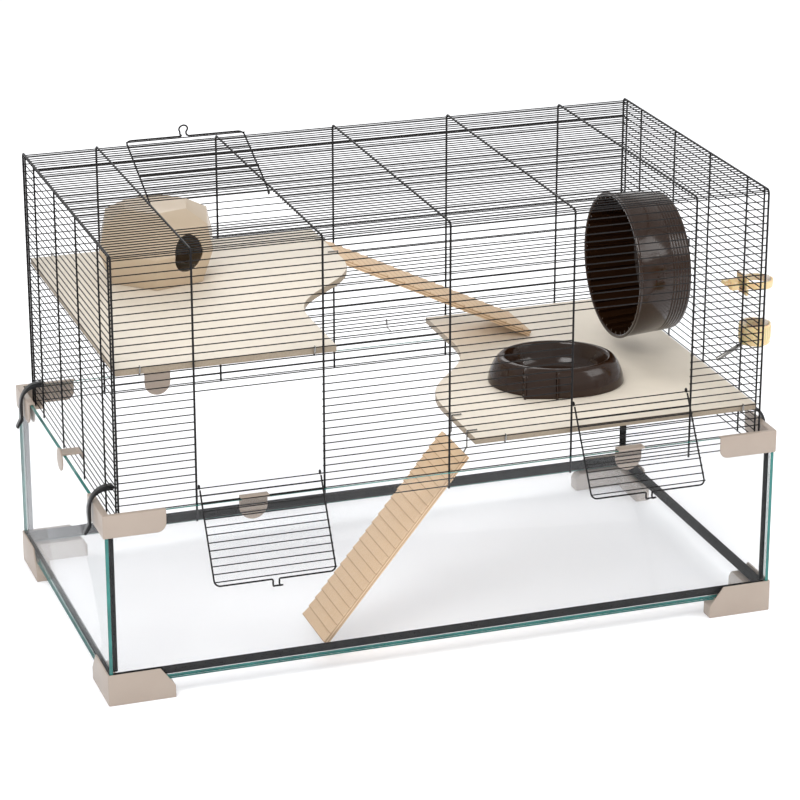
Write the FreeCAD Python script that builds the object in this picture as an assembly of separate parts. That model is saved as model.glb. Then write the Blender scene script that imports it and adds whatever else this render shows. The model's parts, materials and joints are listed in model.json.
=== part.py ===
"""Hamster cage: glass tank, lift-off wire top with three doors, shelves, ladders, wheel, house, bowl, bottle.

Millimetres, +X along the length, +Y to the back, +Z up. Shapes are modelled about the middle of the glass
tank's footprint; export_all() then moves them so the origin is the bottom centre of the whole object's box.
"""
import FreeCAD, Part
import math
import os

V = FreeCAD.Vector
X_AXIS, Y_AXIS, Z_AXIS = V(1, 0, 0), V(0, 1, 0), V(0, 0, 1)

# ---- driving dimensions: glass tank ----
TANK_HALF_X = 492.0          # outer face of the end panes
TANK_HALF_Y = 267.0          # outer face of the front and back panes
GLASS = 5.0                  # pane thickness
GLASS_BOTTOM = 28.0          # underside of the glass above the floor
RIM_Z = 278.0                # top edge of the glass walls
SEAM_UP, SEAM_IN = 14.0, 8.0  # height and depth of the bead along the floor
SEAM_CORNER = 9.0            # legs of the bead in the upright corners

# ---- driving dimensions: plastic corner fittings ----
WALL = 2.5                   # moulded wall outside the glass
FOOT_HEIGHT, FOOT_WING = 46.0, 95.0
FOOT_SEAT = 22.0             # how far the foot reaches in under the glass
FOOT_SLOPE_RUN, FOOT_SLOPE_LOW = 21.0, 18.0
FOOT_RIM, FOOT_ROOF = 3.0, 14.0
CORNER_ROUND = 2.0
CAP_BOTTOM, CAP_TOP, CAP_WING = 247.5, 280.5, 88.0
CAP_END_ROUND = 13.0
LEDGE_TOP = 253.0            # the wire top's posts stand at this height
LEDGE_PAST_X, LEDGE_PAST_Y = 12.0, 18.0

# ---- driving dimensions: wire top ----
CAGE_HALF_X, CAGE_HALF_Y = 470.0, 260.0
CAGE_TOP = 638.0             # axis height of the hoops along the top
HOOP_R, BAR_R, POST_R = 1.5, 0.8, 1.3
HOOP_BEND = 6.0
WELD = 0.2                   # depth that welded wires sink into each other
PITCH = 10.75                # spacing of the thin bars
WIDE_BAY = 180.75
HOOP_X = [-CAGE_HALF_X, -2 * WIDE_BAY, -WIDE_BAY, 0.0, WIDE_BAY, 2 * WIDE_BAY, CAGE_HALF_X]
SIDE_POST_Y = [-246.0, -190.0, -63.0, 63.0, 190.0, 246.0]
FIRST_BAR_Z = 632.0
WALL_BARS = 36
TOP_BARS = 48
BAR_OFFSET = HOOP_R + BAR_R - WELD
BAR_OVERHANG = 2.0
SIDE_BAR_HALF = 251.0

# ---- driving dimensions: doors ----
DOOR_PITCHES = 13
DOOR_HALF_W = 85.5
DOOR_WIRE_R = 1.2
DOOR_REACH = 134.5           # hinge axis to the axis of the free edge
EYE_CLEARANCE = 0.3
LATCH_RISE, LATCH_DEPTH = 8.5, 20.0
LATCH_NECK, LATCH_BULB = 4.5, 6.5
LATCH_JOG = 2.6
LEFT_DOOR_OPEN, RIGHT_DOOR_OPEN, TOP_DOOR_OPEN = 30.0, 32.0, 23.0
LEFT_HINGE_BAR, RIGHT_HINGE_BAR = 31, 26
TOP_HINGE_BAR = -3

# ---- driving dimensions: furniture ----
SHELF = 9.5
UPPER_SHELF_TOP, LOWER_SHELF_TOP = 480.0, 320.0
SHELF_HALF_Y = 254.0
SHELF_OUTER_X = 466.5
LADDER_LENGTH, LADDER_WIDTH, LADDER_THICK = 329.0, 100.0, 9.0
LADDER_STEPS = 22
STEP_DEPTH = 2.2
HOUSE_AT = (-311.0, 119.0)
WHEEL_AT = (23.0, 453.0)
WHEEL_NEAR_X, WHEEL_LENGTH = 356.0, 84.0
WHEEL_R, WHEEL_REAR_R, WHEEL_WALL = 108.0, 102.0, 2.5
RIB_COUNT, RIB_RISE, RIB_WIDTH = 36, 6.0, 2.0
BOWL_AT = (231.0, -74.0)
BOWL_TURN = -19.0
BOTTLE_AT = (496.0, -179.0)

NODES = {}


# ---- small helpers ----
def save(name, shape):
    """Keep one sub-part for export_all()."""
    NODES[name] = shape


def export_all():
    """Move every sub-part to the common origin and write its file."""
    os.makedirs("parts", exist_ok=True)
    boxes = [shape.optimalBoundingBox(False, False) for shape in NODES.values()]
    mid_x = (min(b.XMin for b in boxes) + max(b.XMax for b in boxes)) / 2
    mid_y = (min(b.YMin for b in boxes) + max(b.YMax for b in boxes)) / 2
    print("frame shift", round(-mid_x, 4), round(-mid_y, 4))
    for name, shape in NODES.items():
        placed = shape.copy()
        placed.translate(V(-mid_x, -mid_y, 0))
        placed.exportStep("parts/" + name + ".step")
        print(name, len(placed.Solids), "solids", round(placed.Volume / 1000.0, 2), "cm3", placed.isValid())


def box(x0, x1, y0, y1, z0, z1):
    return Part.makeBox(x1 - x0, y1 - y0, z1 - z0, V(x0, y0, z0))


def rod(start, end, radius):
    a, b = V(*start), V(*end)
    return Part.makeCylinder(radius, (b - a).Length, a, b - a)


def group(shapes):
    return Part.makeCompound(shapes)


def fuse(shapes):
    return shapes[0].multiFuse(shapes[1:]).removeSplitter()


def bent_wire(points, radius):
    """One solid: straight rods joined by balls at the inner points."""
    pieces = [rod(points[i], points[i + 1], radius) for i in range(len(points) - 1)]
    pieces += [Part.makeSphere(radius, V(*p)) for p in points[1:-1]]
    return fuse(pieces)


def prism(points, depth_vector):
    """Extrude the closed polygon through the points."""
    corners = [V(*p) for p in points]
    face = Part.Face(Part.makePolygon(corners + corners[:1]))
    return face.extrude(V(*depth_vector))


def mirrored(shape, across_x=False, across_y=False):
    out = shape.copy()
    if across_x:
        out = out.mirror(V(0, 0, 0), X_AXIS)
    if across_y:
        out = out.mirror(V(0, 0, 0), Y_AXIS)
    return out


def turned(shape, centre, axis, degrees):
    out = shape.copy()
    out.rotate(V(*centre), axis, degrees)
    return out


def moved(shape, x, y, z):
    out = shape.copy()
    out.translate(V(x, y, z))
    return out


CORNERS = [("front_left", False, False), ("front_right", True, False),
           ("back_left", False, True), ("back_right", True, True)]


# ---- glass tank ----
def make_tank():
    inner_x, inner_y = TANK_HALF_X - GLASS, TANK_HALF_Y - GLASS
    save("glass_front", box(-inner_x, inner_x, -TANK_HALF_Y, -inner_y, GLASS_BOTTOM, RIM_Z))
    save("glass_back", box(-inner_x, inner_x, inner_y, TANK_HALF_Y, GLASS_BOTTOM, RIM_Z))
    save("glass_left", box(-TANK_HALF_X, -inner_x, -TANK_HALF_Y, TANK_HALF_Y, GLASS_BOTTOM, RIM_Z))
    save("glass_right", box(inner_x, TANK_HALF_X, -TANK_HALF_Y, TANK_HALF_Y, GLASS_BOTTOM, RIM_Z))
    floor_top = GLASS_BOTTOM + GLASS
    save("glass_floor", box(-inner_x, inner_x, -inner_y, inner_y, GLASS_BOTTOM, floor_top))

    seams = []
    corner_foot = floor_top + SEAM_UP
    for sx in (-1, 1):
        for sy in (-1, 1):
            cx, cy = sx * inner_x, sy * inner_y
            seams.append(prism([(cx, cy, corner_foot), (cx - sx * SEAM_CORNER, cy, corner_foot),
                                (cx, cy - sy * SEAM_CORNER, corner_foot)],
                               (0, 0, CAP_BOTTOM - 1.0 - corner_foot)))
    save("silicone_corner_seams", group(seams))
    bottom = []
    for sy in (-1, 1):
        cy = sy * inner_y
        bottom.append(prism([(-inner_x, cy, floor_top), (-inner_x, cy - sy * SEAM_IN, floor_top),
                             (-inner_x, cy, corner_foot)], (2 * inner_x, 0, 0)))
    for sx in (-1, 1):
        cx = sx * inner_x
        run = inner_y - SEAM_IN
        bottom.append(prism([(cx, -run, floor_top), (cx - sx * SEAM_IN, -run, floor_top),
                             (cx, -run, corner_foot)], (0, 2 * run, 0)))
    save("silicone_floor_seams", group(bottom))


# ---- corner feet: an L-shaped shoe under each corner of the glass ----
def foot():
    ox, oy = -TANK_HALF_X - WALL, -TANK_HALF_Y - WALL
    front = box(ox, ox + FOOT_WING, oy, -TANK_HALF_Y, 0, FOOT_HEIGHT)
    side = box(ox, -TANK_HALF_X, oy, oy + FOOT_WING, 0, FOOT_HEIGHT)
    seat_front = box(ox, ox + FOOT_WING, oy, oy + FOOT_SEAT, 0, GLASS_BOTTOM)
    seat_side = box(ox, ox + FOOT_SEAT, oy, oy + FOOT_WING, 0, GLASS_BOTTOM)
    body = fuse([front, side, seat_front, seat_side])
    end_x, end_y = ox + FOOT_WING, oy + FOOT_WING
    below = FOOT_SLOPE_LOW - (FOOT_HEIGHT - FOOT_SLOPE_LOW) / FOOT_SLOPE_RUN
    above = FOOT_HEIGHT + 0.01
    cut_front = prism([(end_x - FOOT_SLOPE_RUN, oy - 1, above), (end_x + 1, oy - 1, above),
                       (end_x + 1, oy - 1, below)], (0, FOOT_SEAT + 2, 0))
    cut_side = prism([(ox - 1, end_y - FOOT_SLOPE_RUN, above), (ox - 1, end_y + 1, above),
                      (ox - 1, end_y + 1, below)], (FOOT_SEAT + 2, 0, 0))
    body = body.cut(cut_front).cut(cut_side)
    # hollow underside with a rim all round
    rim = FOOT_RIM
    hollow_front = box(ox + rim, end_x - rim, oy + rim, oy + FOOT_SEAT - rim, -1, FOOT_ROOF)
    hollow_side = box(ox + rim, ox + FOOT_SEAT - rim, oy + rim, end_y - rim, -1, FOOT_ROOF)
    body = body.cut(fuse([hollow_front, hollow_side]))
    return rounded_corner(body, ox, oy)


def rounded_corner(body, x, y):
    """Round the upright edges that stand at x, y."""
    upright = [e for e in body.Edges if len(e.Vertexes) == 2
               and all(abs(v.X - x) < 0.01 and abs(v.Y - y) < 0.01 for v in e.Vertexes)]
    return body.makeFillet(CORNER_ROUND, upright)


def make_feet():
    shape = foot()
    for name, flip_x, flip_y in CORNERS:
        save("foot_" + name, mirrored(shape, flip_x, flip_y))


# ---- corner caps: a channel over the rim with a ledge that carries the wire top's corner ----
def cap():
    ox, oy = -TANK_HALF_X - WALL, -TANK_HALF_Y - WALL
    end_x, end_y = ox + CAP_WING, oy + CAP_WING
    glass_in_x = -TANK_HALF_X + GLASS
    channel_in = glass_in_x + WALL
    pieces = [
        box(ox, end_x, oy, -TANK_HALF_Y, CAP_BOTTOM, CAP_TOP),
        box(ox, end_x, oy, -TANK_HALF_Y + GLASS, RIM_Z, CAP_TOP),
        box(ox, -TANK_HALF_X, oy, end_y, CAP_BOTTOM, CAP_TOP),
        box(ox, channel_in, oy, end_y, RIM_Z, CAP_TOP),
        box(glass_in_x, channel_in, -TANK_HALF_Y + GLASS, end_y, CAP_BOTTOM, CAP_TOP),
        box(glass_in_x, -CAGE_HALF_X + LEDGE_PAST_X, -TANK_HALF_Y + GLASS, -CAGE_HALF_Y + LEDGE_PAST_Y,
            CAP_BOTTOM, LEDGE_TOP),
    ]
    body = fuse(pieces)
    # rounded lower corner at the end of each wing
    r = CAP_END_ROUND
    low, middle = CAP_BOTTOM - 1, CAP_BOTTOM + r
    round_front = box(end_x - r, end_x + 1, oy - 1, -TANK_HALF_Y + GLASS + 1, low, middle)
    round_front = round_front.cut(rod((end_x - r, oy - 5, middle), (end_x - r, 0, middle), r))
    round_side = box(ox - 1, channel_in + 1, end_y - r, end_y + 1, low, middle)
    round_side = round_side.cut(rod((ox - 5, end_y - r, middle), (0, end_y - r, middle), r))
    return rounded_corner(body.cut(round_front).cut(round_side), ox, oy)


def make_caps():
    shape = cap()
    for name, flip_x, flip_y in CORNERS:
        save("cap_" + name, mirrored(shape, flip_x, flip_y))


# ---- rim clips: a flat bar on the rim that reaches in between two bars, with a plate on one end ----
CLIP_HALF_W, CLIP_WALL, CLIP_BOTTOM = 20.0, 2.0, 244.0
CLIP_BAR_Z0, CLIP_BAR_Z1 = 278.3, 281.0
CLIP_LIP = 1.5
CLIP_FRONT_X = (-281.0, 270.5)
CLIP_IN_Y, CLIP_IN_X = 5.8, 6.5
END_CLIP_R, END_CLIP_Z, END_CLIP_Y = 16.5, 270.0, -20.0
END_CLIP_HALF_W, END_CLIP_TOE = 11.0, 8.0


def d_plate(y0):
    """Plate hanging from the bar, straight at the top and round at the bottom."""
    straight = CLIP_BOTTOM + CLIP_HALF_W
    upper = box(-CLIP_HALF_W, CLIP_HALF_W, y0, y0 + CLIP_WALL, straight, CLIP_BAR_Z1)
    disc = rod((0, y0, straight), (0, y0 + CLIP_WALL, straight), CLIP_HALF_W)
    half = disc.common(box(-CLIP_HALF_W, CLIP_HALF_W, y0, y0 + CLIP_WALL, CLIP_BOTTOM, straight))
    return upper.fuse(half)


def make_rim_clips():
    outer, inner = -TANK_HALF_Y - CLIP_LIP, -CAGE_HALF_Y + CLIP_IN_Y
    bar = box(-CLIP_HALF_W, CLIP_HALF_W, outer, inner, CLIP_BAR_Z0, CLIP_BAR_Z1)
    front = fuse([bar, d_plate(inner - CLIP_WALL)])
    clips = []
    for x in CLIP_FRONT_X:
        clips.append(moved(front, x, 0, 0))
        clips.append(moved(mirrored(front, across_y=True), x, 0, 0))
    save("rim_clips_long_sides", group(clips))
    # at the ends a round plate hangs outside the glass
    end_outer, end_inner = -TANK_HALF_X - CLIP_LIP - CLIP_WALL, -CAGE_HALF_X + CLIP_IN_X
    w = END_CLIP_HALF_W
    flat = box(-w, w, end_outer, end_inner, CLIP_BAR_Z0, CLIP_BAR_Z1)
    toe = box(-w, w, end_inner - CLIP_WALL, end_inner, CLIP_BAR_Z0 - END_CLIP_TOE, CLIP_BAR_Z1)
    disc = rod((0, end_outer, END_CLIP_Z), (0, end_outer + CLIP_WALL, END_CLIP_Z), END_CLIP_R)
    clip = moved(turned(fuse([flat, toe, disc]), (0, 0, 0), Z_AXIS, -90), 0, END_CLIP_Y, 0)
    save("rim_clips_ends", group([clip, mirrored(clip, across_x=True)]))


# ---- wire top ----
def bar_z(k):
    return FIRST_BAR_Z - PITCH * k


def top_bar_y(j):
    return (j + 0.5) * PITCH


def make_hoops():
    fronts, backs, tops = [], [], []
    leg_top = CAGE_TOP - HOOP_BEND
    for x in HOOP_X:
        fronts.append(rod((x, -CAGE_HALF_Y, LEDGE_TOP), (x, -CAGE_HALF_Y, leg_top), HOOP_R))
        backs.append(rod((x, CAGE_HALF_Y, LEDGE_TOP), (x, CAGE_HALF_Y, leg_top), HOOP_R))
        flat = CAGE_HALF_Y - HOOP_BEND
        lift = HOOP_BEND * (1 - math.cos(math.pi / 4))
        near = Part.Arc(V(x, -CAGE_HALF_Y, leg_top), V(x, -CAGE_HALF_Y + lift, CAGE_TOP - lift),
                        V(x, -flat, CAGE_TOP))
        far = Part.Arc(V(x, flat, CAGE_TOP), V(x, CAGE_HALF_Y - lift, CAGE_TOP - lift),
                       V(x, CAGE_HALF_Y, leg_top))
        along = Part.LineSegment(V(x, -flat, CAGE_TOP), V(x, flat, CAGE_TOP))
        path = Part.Wire([near.toShape(), along.toShape(), far.toShape()])
        ring = Part.Wire(Part.makeCircle(HOOP_R, V(x, -CAGE_HALF_Y, leg_top), Z_AXIS))
        tops.append(path.makePipeShell([ring], True, False))
    save("hoop_front_legs", group(fronts))
    save("hoop_back_legs", group(backs))
    save("hoop_tops", group(tops))


def spans(gaps):
    """Stretches of a long bar between the end hoops, leaving out the door bays in gaps."""
    end = CAGE_HALF_X + BAR_OVERHANG
    cuts = sorted(gaps)
    out, start = [], -end
    for low, high in cuts:
        out.append((start, low + HOOP_R))
        start = high - HOOP_R
    out.append((start, end))
    return out


LEFT_BAY = (-2 * WIDE_BAY, -WIDE_BAY)
RIGHT_BAY = (WIDE_BAY, 2 * WIDE_BAY)
TOP_FIRST_OPEN = TOP_HINGE_BAR - DOOR_PITCHES


def make_bars():
    y = CAGE_HALF_Y - BAR_OFFSET
    front, back, top = [], [], []
    for k in range(WALL_BARS):
        gaps = []
        if LEFT_HINGE_BAR - DOOR_PITCHES < k < LEFT_HINGE_BAR:
            gaps.append(LEFT_BAY)
        if RIGHT_HINGE_BAR - DOOR_PITCHES < k < RIGHT_HINGE_BAR:
            gaps.append(RIGHT_BAY)
        front += [rod((a, -y, bar_z(k)), (b, -y, bar_z(k)), BAR_R) for a, b in spans(gaps)]
        back.append(rod((spans([])[0][0], y, bar_z(k)), (spans([])[0][1], y, bar_z(k)), BAR_R))
    z = CAGE_TOP - BAR_OFFSET
    half = TOP_BARS // 2
    for j in range(-half, half):
        gaps = [LEFT_BAY] if TOP_FIRST_OPEN < j < TOP_HINGE_BAR else []
        top += [rod((a, top_bar_y(j), z), (b, top_bar_y(j), z), BAR_R) for a, b in spans(gaps)]
    # one more bar inside each bend
    tuck = (HOOP_BEND - HOOP_R - BAR_R + WELD) * math.sqrt(0.5)
    for sy in (-1, 1):
        edge_y = sy * (CAGE_HALF_Y - HOOP_BEND + tuck)
        edge_z = CAGE_TOP - HOOP_BEND + tuck
        a, b = spans([])[0]
        top.append(rod((a, edge_y, edge_z), (b, edge_y, edge_z), BAR_R))
    save("front_bars", group(front))
    save("back_bars", group(back))
    save("top_bars", group(top))


def make_side_panels():
    bar_x = CAGE_HALF_X - POST_R - BAR_R + WELD
    for name, sx in (("left", -1), ("right", 1)):
        posts = [rod((sx * CAGE_HALF_X, y, LEDGE_TOP), (sx * CAGE_HALF_X, y, CAGE_TOP - HOOP_R + 0.1), POST_R)
                 for y in SIDE_POST_Y]
        bars = [rod((sx * bar_x, -SIDE_BAR_HALF, bar_z(k)), (sx * bar_x, SIDE_BAR_HALF, bar_z(k)), BAR_R)
                for k in range(WALL_BARS)]
        save("side_" + name + "_posts", group(posts))
        save("side_" + name + "_bars", group(bars))


# ---- doors: built closed in a plane, u up from the hinge axis, v outwards, then placed and opened ----
def door_frame_solids():
    """Pieces of the bent frame wire. Local axes: x along the hinge, y = -v (outwards is -y), z = u."""
    bend = 8.0
    eye_r = BAR_R + EYE_CLEARANCE + DOOR_WIRE_R
    eye_w = DOOR_WIRE_R
    solids = []
    for side in (-1, 1):
        x = side * DOOR_HALF_W
        eye = Part.makeTorus(eye_r, eye_w, V(x, 0, 0), X_AXIS)
        leg = rod((x, 0, eye_r), (x, 0, DOOR_REACH - bend), DOOR_WIRE_R)
        solids.append(fuse([eye, leg]))
        lift = bend * (1 - math.sqrt(0.5))
        start, end = V(x, 0, DOOR_REACH - bend), V(x - side * bend, 0, DOOR_REACH)
        arc = Part.Arc(start, V(x - side * lift, 0, DOOR_REACH - lift), end)
        stop = V(side * (LATCH_NECK + 3.0), 0, DOOR_REACH)
        path = Part.Wire([arc.toShape(), Part.LineSegment(end, stop).toShape()])
        ring = Part.Wire(Part.makeCircle(DOOR_WIRE_R, start, Z_AXIS))
        solids.append(path.makePipeShell([ring], True, False))
    solids.append(latch_loop())
    return solids


def latch_loop():
    """The sprung loop in the middle of the free edge: out past the edge bar, then in above it."""
    top = DOOR_REACH + LATCH_RISE
    tip_u = top + 1.0
    half = [(LATCH_NECK + 3.0, 0, DOOR_REACH), (LATCH_NECK, -LATCH_JOG * 0.6, DOOR_REACH + 2.0),
            (LATCH_NECK, -LATCH_JOG, DOOR_REACH + 4.5), (LATCH_NECK, -LATCH_JOG, top - 1.0),
            (LATCH_NECK, -LATCH_JOG + 1.5, top), (LATCH_BULB, LATCH_DEPTH * 0.4, tip_u),
            (LATCH_BULB, LATCH_DEPTH * 0.75, tip_u), (LATCH_BULB * 0.6, LATCH_DEPTH * 0.95, tip_u)]
    other = [(-x, y, z) for x, y, z in reversed(half)]
    return bent_wire(half + other, DOOR_WIRE_R)


def door_bars():
    inset = DOOR_WIRE_R + BAR_R - WELD
    reach = DOOR_HALF_W + DOOR_WIRE_R
    return [rod((-reach, inset, PITCH * n), (reach, inset, PITCH * n), BAR_R) for n in range(1, DOOR_PITCHES)]


def make_doors():
    frame, bars = group(door_frame_solids()), group(door_bars())
    wall_y = -(CAGE_HALF_Y - BAR_OFFSET)
    top_z = CAGE_TOP - BAR_OFFSET
    mid_left, mid_right = sum(LEFT_BAY) / 2, sum(RIGHT_BAY) / 2
    for kind, shape in (("frame", frame), ("bars", bars)):
        left = turned(shape, (0, 0, 0), X_AXIS, 180 - LEFT_DOOR_OPEN)
        save("door_left_" + kind, moved(left, mid_left, wall_y, bar_z(LEFT_HINGE_BAR)))
        right = turned(shape, (0, 0, 0), X_AXIS, 180 - RIGHT_DOOR_OPEN)
        save("door_right_" + kind, moved(right, mid_right, wall_y, bar_z(RIGHT_HINGE_BAR)))
        flat = turned(shape, (0, 0, 0), X_AXIS, 90).mirror(V(0, 0, 0), Z_AXIS)
        top = turned(flat, (0, 0, 0), X_AXIS, TOP_DOOR_OPEN - 180)
        save("door_top_" + kind, moved(top, mid_left, top_bar_y(TOP_HINGE_BAR), top_z))


# ---- shelves: boards with an S-shaped free end ----
def shelf(outer_x, front_x, back_x, swing_low, swing_high, top_z):
    """Board from outer_x to an end that swings from front_x to back_x between two depths."""
    mid = (swing_low + swing_high) / 2
    z = top_z - SHELF
    a, b = V(front_x, swing_low, z), V(back_x, swing_high, z)
    swing = Part.BezierCurve()
    swing.setPoles([a, V(front_x, mid, z), V(back_x, mid, z), b])
    corners = [V(outer_x, -SHELF_HALF_Y, z), V(front_x, -SHELF_HALF_Y, z)]
    back = [V(back_x, SHELF_HALF_Y, z), V(outer_x, SHELF_HALF_Y, z)]
    edges = [Part.LineSegment(corners[0], corners[1]).toShape(), Part.LineSegment(corners[1], a).toShape(),
             swing.toShape(), Part.LineSegment(b, back[0]).toShape(),
             Part.LineSegment(back[0], back[1]).toShape(), Part.LineSegment(back[1], corners[0]).toShape()]
    return Part.Face(Part.Wire(edges)).extrude(V(0, 0, SHELF))


def shelf_hook(x, shelf_top):
    """Bent steel wire from a bar of the front wall to the underside of the shelf."""
    r = 0.8
    bar_index = math.floor((FIRST_BAR_Z - shelf_top) / PITCH)
    over = bar_z(bar_index) + BAR_R + r + 0.05
    wall_y = -(CAGE_HALF_Y - BAR_OFFSET)
    between = (wall_y + BAR_R - SHELF_HALF_Y) / 2
    outer = wall_y - BAR_R - r - 0.2
    under = shelf_top - SHELF - r
    return bent_wire([(x, outer, over - 8.0), (x, outer, over), (x, between, over), (x, between, under),
                      (x, between + 16.0, under)], r)


UPPER_HOOK_X = (-434.0, -192.0)
LOWER_HOOK_X = (84.0, 445.0)


def make_shelves():
    save("shelf_upper", shelf(-SHELF_OUTER_X, -160.0, -35.0, -130.0, 110.0, UPPER_SHELF_TOP))
    save("shelf_lower", shelf(SHELF_OUTER_X, 40.0, 146.0, -120.0, 130.0, LOWER_SHELF_TOP))
    hooks = []
    for places, top in ((UPPER_HOOK_X, UPPER_SHELF_TOP), (LOWER_HOOK_X, LOWER_SHELF_TOP)):
        for x in places:
            hook = shelf_hook(x, top)
            hooks += [hook, mirrored(hook, across_y=True)]
    save("shelf_hooks", group(hooks))


# ---- ladders: a board with sawn steps, hung from a shelf edge by two wire hooks ----
def ladder_board():
    """Length along +x from the foot, top side +z, centred on y."""
    step = LADDER_LENGTH / LADDER_STEPS
    outline = [(0, -LADDER_WIDTH / 2, 0), (LADDER_LENGTH, -LADDER_WIDTH / 2, 0)]
    for i in reversed(range(LADDER_STEPS)):
        outline.append(((i + 1) * step, -LADDER_WIDTH / 2, LADDER_THICK - STEP_DEPTH))
        outline.append((i * step, -LADDER_WIDTH / 2, LADDER_THICK))
    return prism(outline, (0, LADDER_WIDTH, 0))


HOOK_SPREAD = 32.0
LADDER_HOOK_R = 1.1


def place_ladder(foot_x, foot_z, angle, mid_y, toward):
    """Board with its foot corner at foot_x, foot_z, rising towards +x (toward = 1) or -x (toward = -1)."""
    board = turned(ladder_board(), (0, 0, 0), Y_AXIS, -angle)
    if toward < 0:
        board = mirrored(board, across_x=True)
    return moved(board, foot_x, mid_y, foot_z)


def ladder_hooks(foot_x, foot_z, angle, mid_y, toward, shelf_x, shelf_top):
    """Two wires from the ladder's top end over the shelf edge at shelf_x."""
    c, s = math.cos(math.radians(angle)), math.sin(math.radians(angle))
    mid_thick = LADDER_THICK * 0.35

    def at(along, up):
        return foot_x + toward * (along * c - up * s), foot_z + along * s + up * c

    r = LADDER_HOOK_R
    out = []
    for side in (-1, 1):
        y = mid_y + side * HOOK_SPREAD
        root_x, root_z = at(LADDER_LENGTH, mid_thick)
        near_x = shelf_x - toward * (r + 0.8)
        rest_z = shelf_top + r + 0.3
        out.append(bent_wire([(root_x, y, root_z), (near_x, y, root_z + 8.0), (near_x, y, rest_z),
                              (shelf_x + toward * 13.0, y, rest_z)], r))
    return out


LOWER_LADDER = dict(foot_x=-173.0, foot_z=GLASS_BOTTOM + GLASS + 0.4, angle=50.6, mid_y=-194.0, toward=1)
UPPER_LADDER = dict(foot_x=264.0, foot_z=LOWER_SHELF_TOP + 0.4, angle=26.3, mid_y=168.0, toward=-1)


def make_ladders():
    save("ladder_lower", place_ladder(**LOWER_LADDER))
    save("ladder_lower_hooks", group(ladder_hooks(**LOWER_LADDER, shelf_x=40.0, shelf_top=LOWER_SHELF_TOP)))
    save("ladder_upper", place_ladder(**UPPER_LADDER))
    save("ladder_upper_hooks", group(ladder_hooks(**UPPER_LADDER, shelf_x=-35.0, shelf_top=UPPER_SHELF_TOP)))


# ---- house: a thin-walled faceted hide, open underneath, with an oval way in ----
HOUSE_RINGS = [(0.0, 75.0), (50.0, 93.0), (88.0, 84.0), (106.0, 50.0)]
HOUSE_WALL = 2.5
HOUSE_FIRST_CORNER = -105.0
HOUSE_DOOR_R = (22.5, 28.0)
HOUSE_DOOR_AT = (8.0, 50.0)


def hexagon(radius, z):
    pts = []
    for n in range(6):
        a = math.radians(HOUSE_FIRST_CORNER + 60 * n)
        pts.append(V(radius * math.cos(a), radius * math.sin(a), z))
    return Part.makePolygon(pts + pts[:1])


def faceted(rings):
    stages = []
    for (z0, r0), (z1, r1) in zip(rings, rings[1:]):
        stages.append(Part.makeLoft([hexagon(r0, z0), hexagon(r1, z1)], True, True))
    return fuse(stages)


def make_house():
    outer = faceted(HOUSE_RINGS)
    slant = HOUSE_WALL / math.cos(math.radians(30))
    inner_rings = [(z, r - slant) for z, r in HOUSE_RINGS[:-1]]
    inner_rings[0] = (-1.0, HOUSE_RINGS[0][1] - slant - 0.3)
    inner_rings.append((HOUSE_RINGS[-1][0] - HOUSE_WALL, HOUSE_RINGS[-1][1] - slant * 1.2))
    shell = outer.cut(faceted(inner_rings))
    # way in: an oval through the front facet, a little to the right of its middle
    door = Part.makeCylinder(1.0, 60.0, V(0, 0, 0), Y_AXIS)
    scale = FreeCAD.Matrix()
    scale.scale(HOUSE_DOOR_R[0], 1.0, HOUSE_DOOR_R[1])
    door = door.transformGeometry(scale)
    door.translate(V(HOUSE_DOOR_AT[0], -110.0, HOUSE_DOOR_AT[1]))
    door.rotate(V(0, 0, 0), Z_AXIS, HOUSE_FIRST_CORNER + 30 + 90)
    shell = shell.cut(door)
    save("house", moved(shell, HOUSE_AT[0], HOUSE_AT[1], UPPER_SHELF_TOP + 0.2))


# ---- exercise wheel: a closed drum that turns on an axle in a wall bracket ----
AXLE_R, AXLE_CLEARANCE = 4.0, 0.08
HUB_R, HUB_LENGTH = 12.0, 14.0
WHEEL_LIP, WHEEL_LIP_WALL = 5.0, 4.5
AXLE_CAP_R, AXLE_CAP_THICK = 9.0, 3.0
BRACKET_HALF_Y, BRACKET_HALF_Z, BRACKET_THICK = 22.0, 34.0, 3.5
BRACKET_HOOK_R, BRACKET_HOOK_Y, BRACKET_HOOK_DROP = 1.6, 14.0, 9.0


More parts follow.
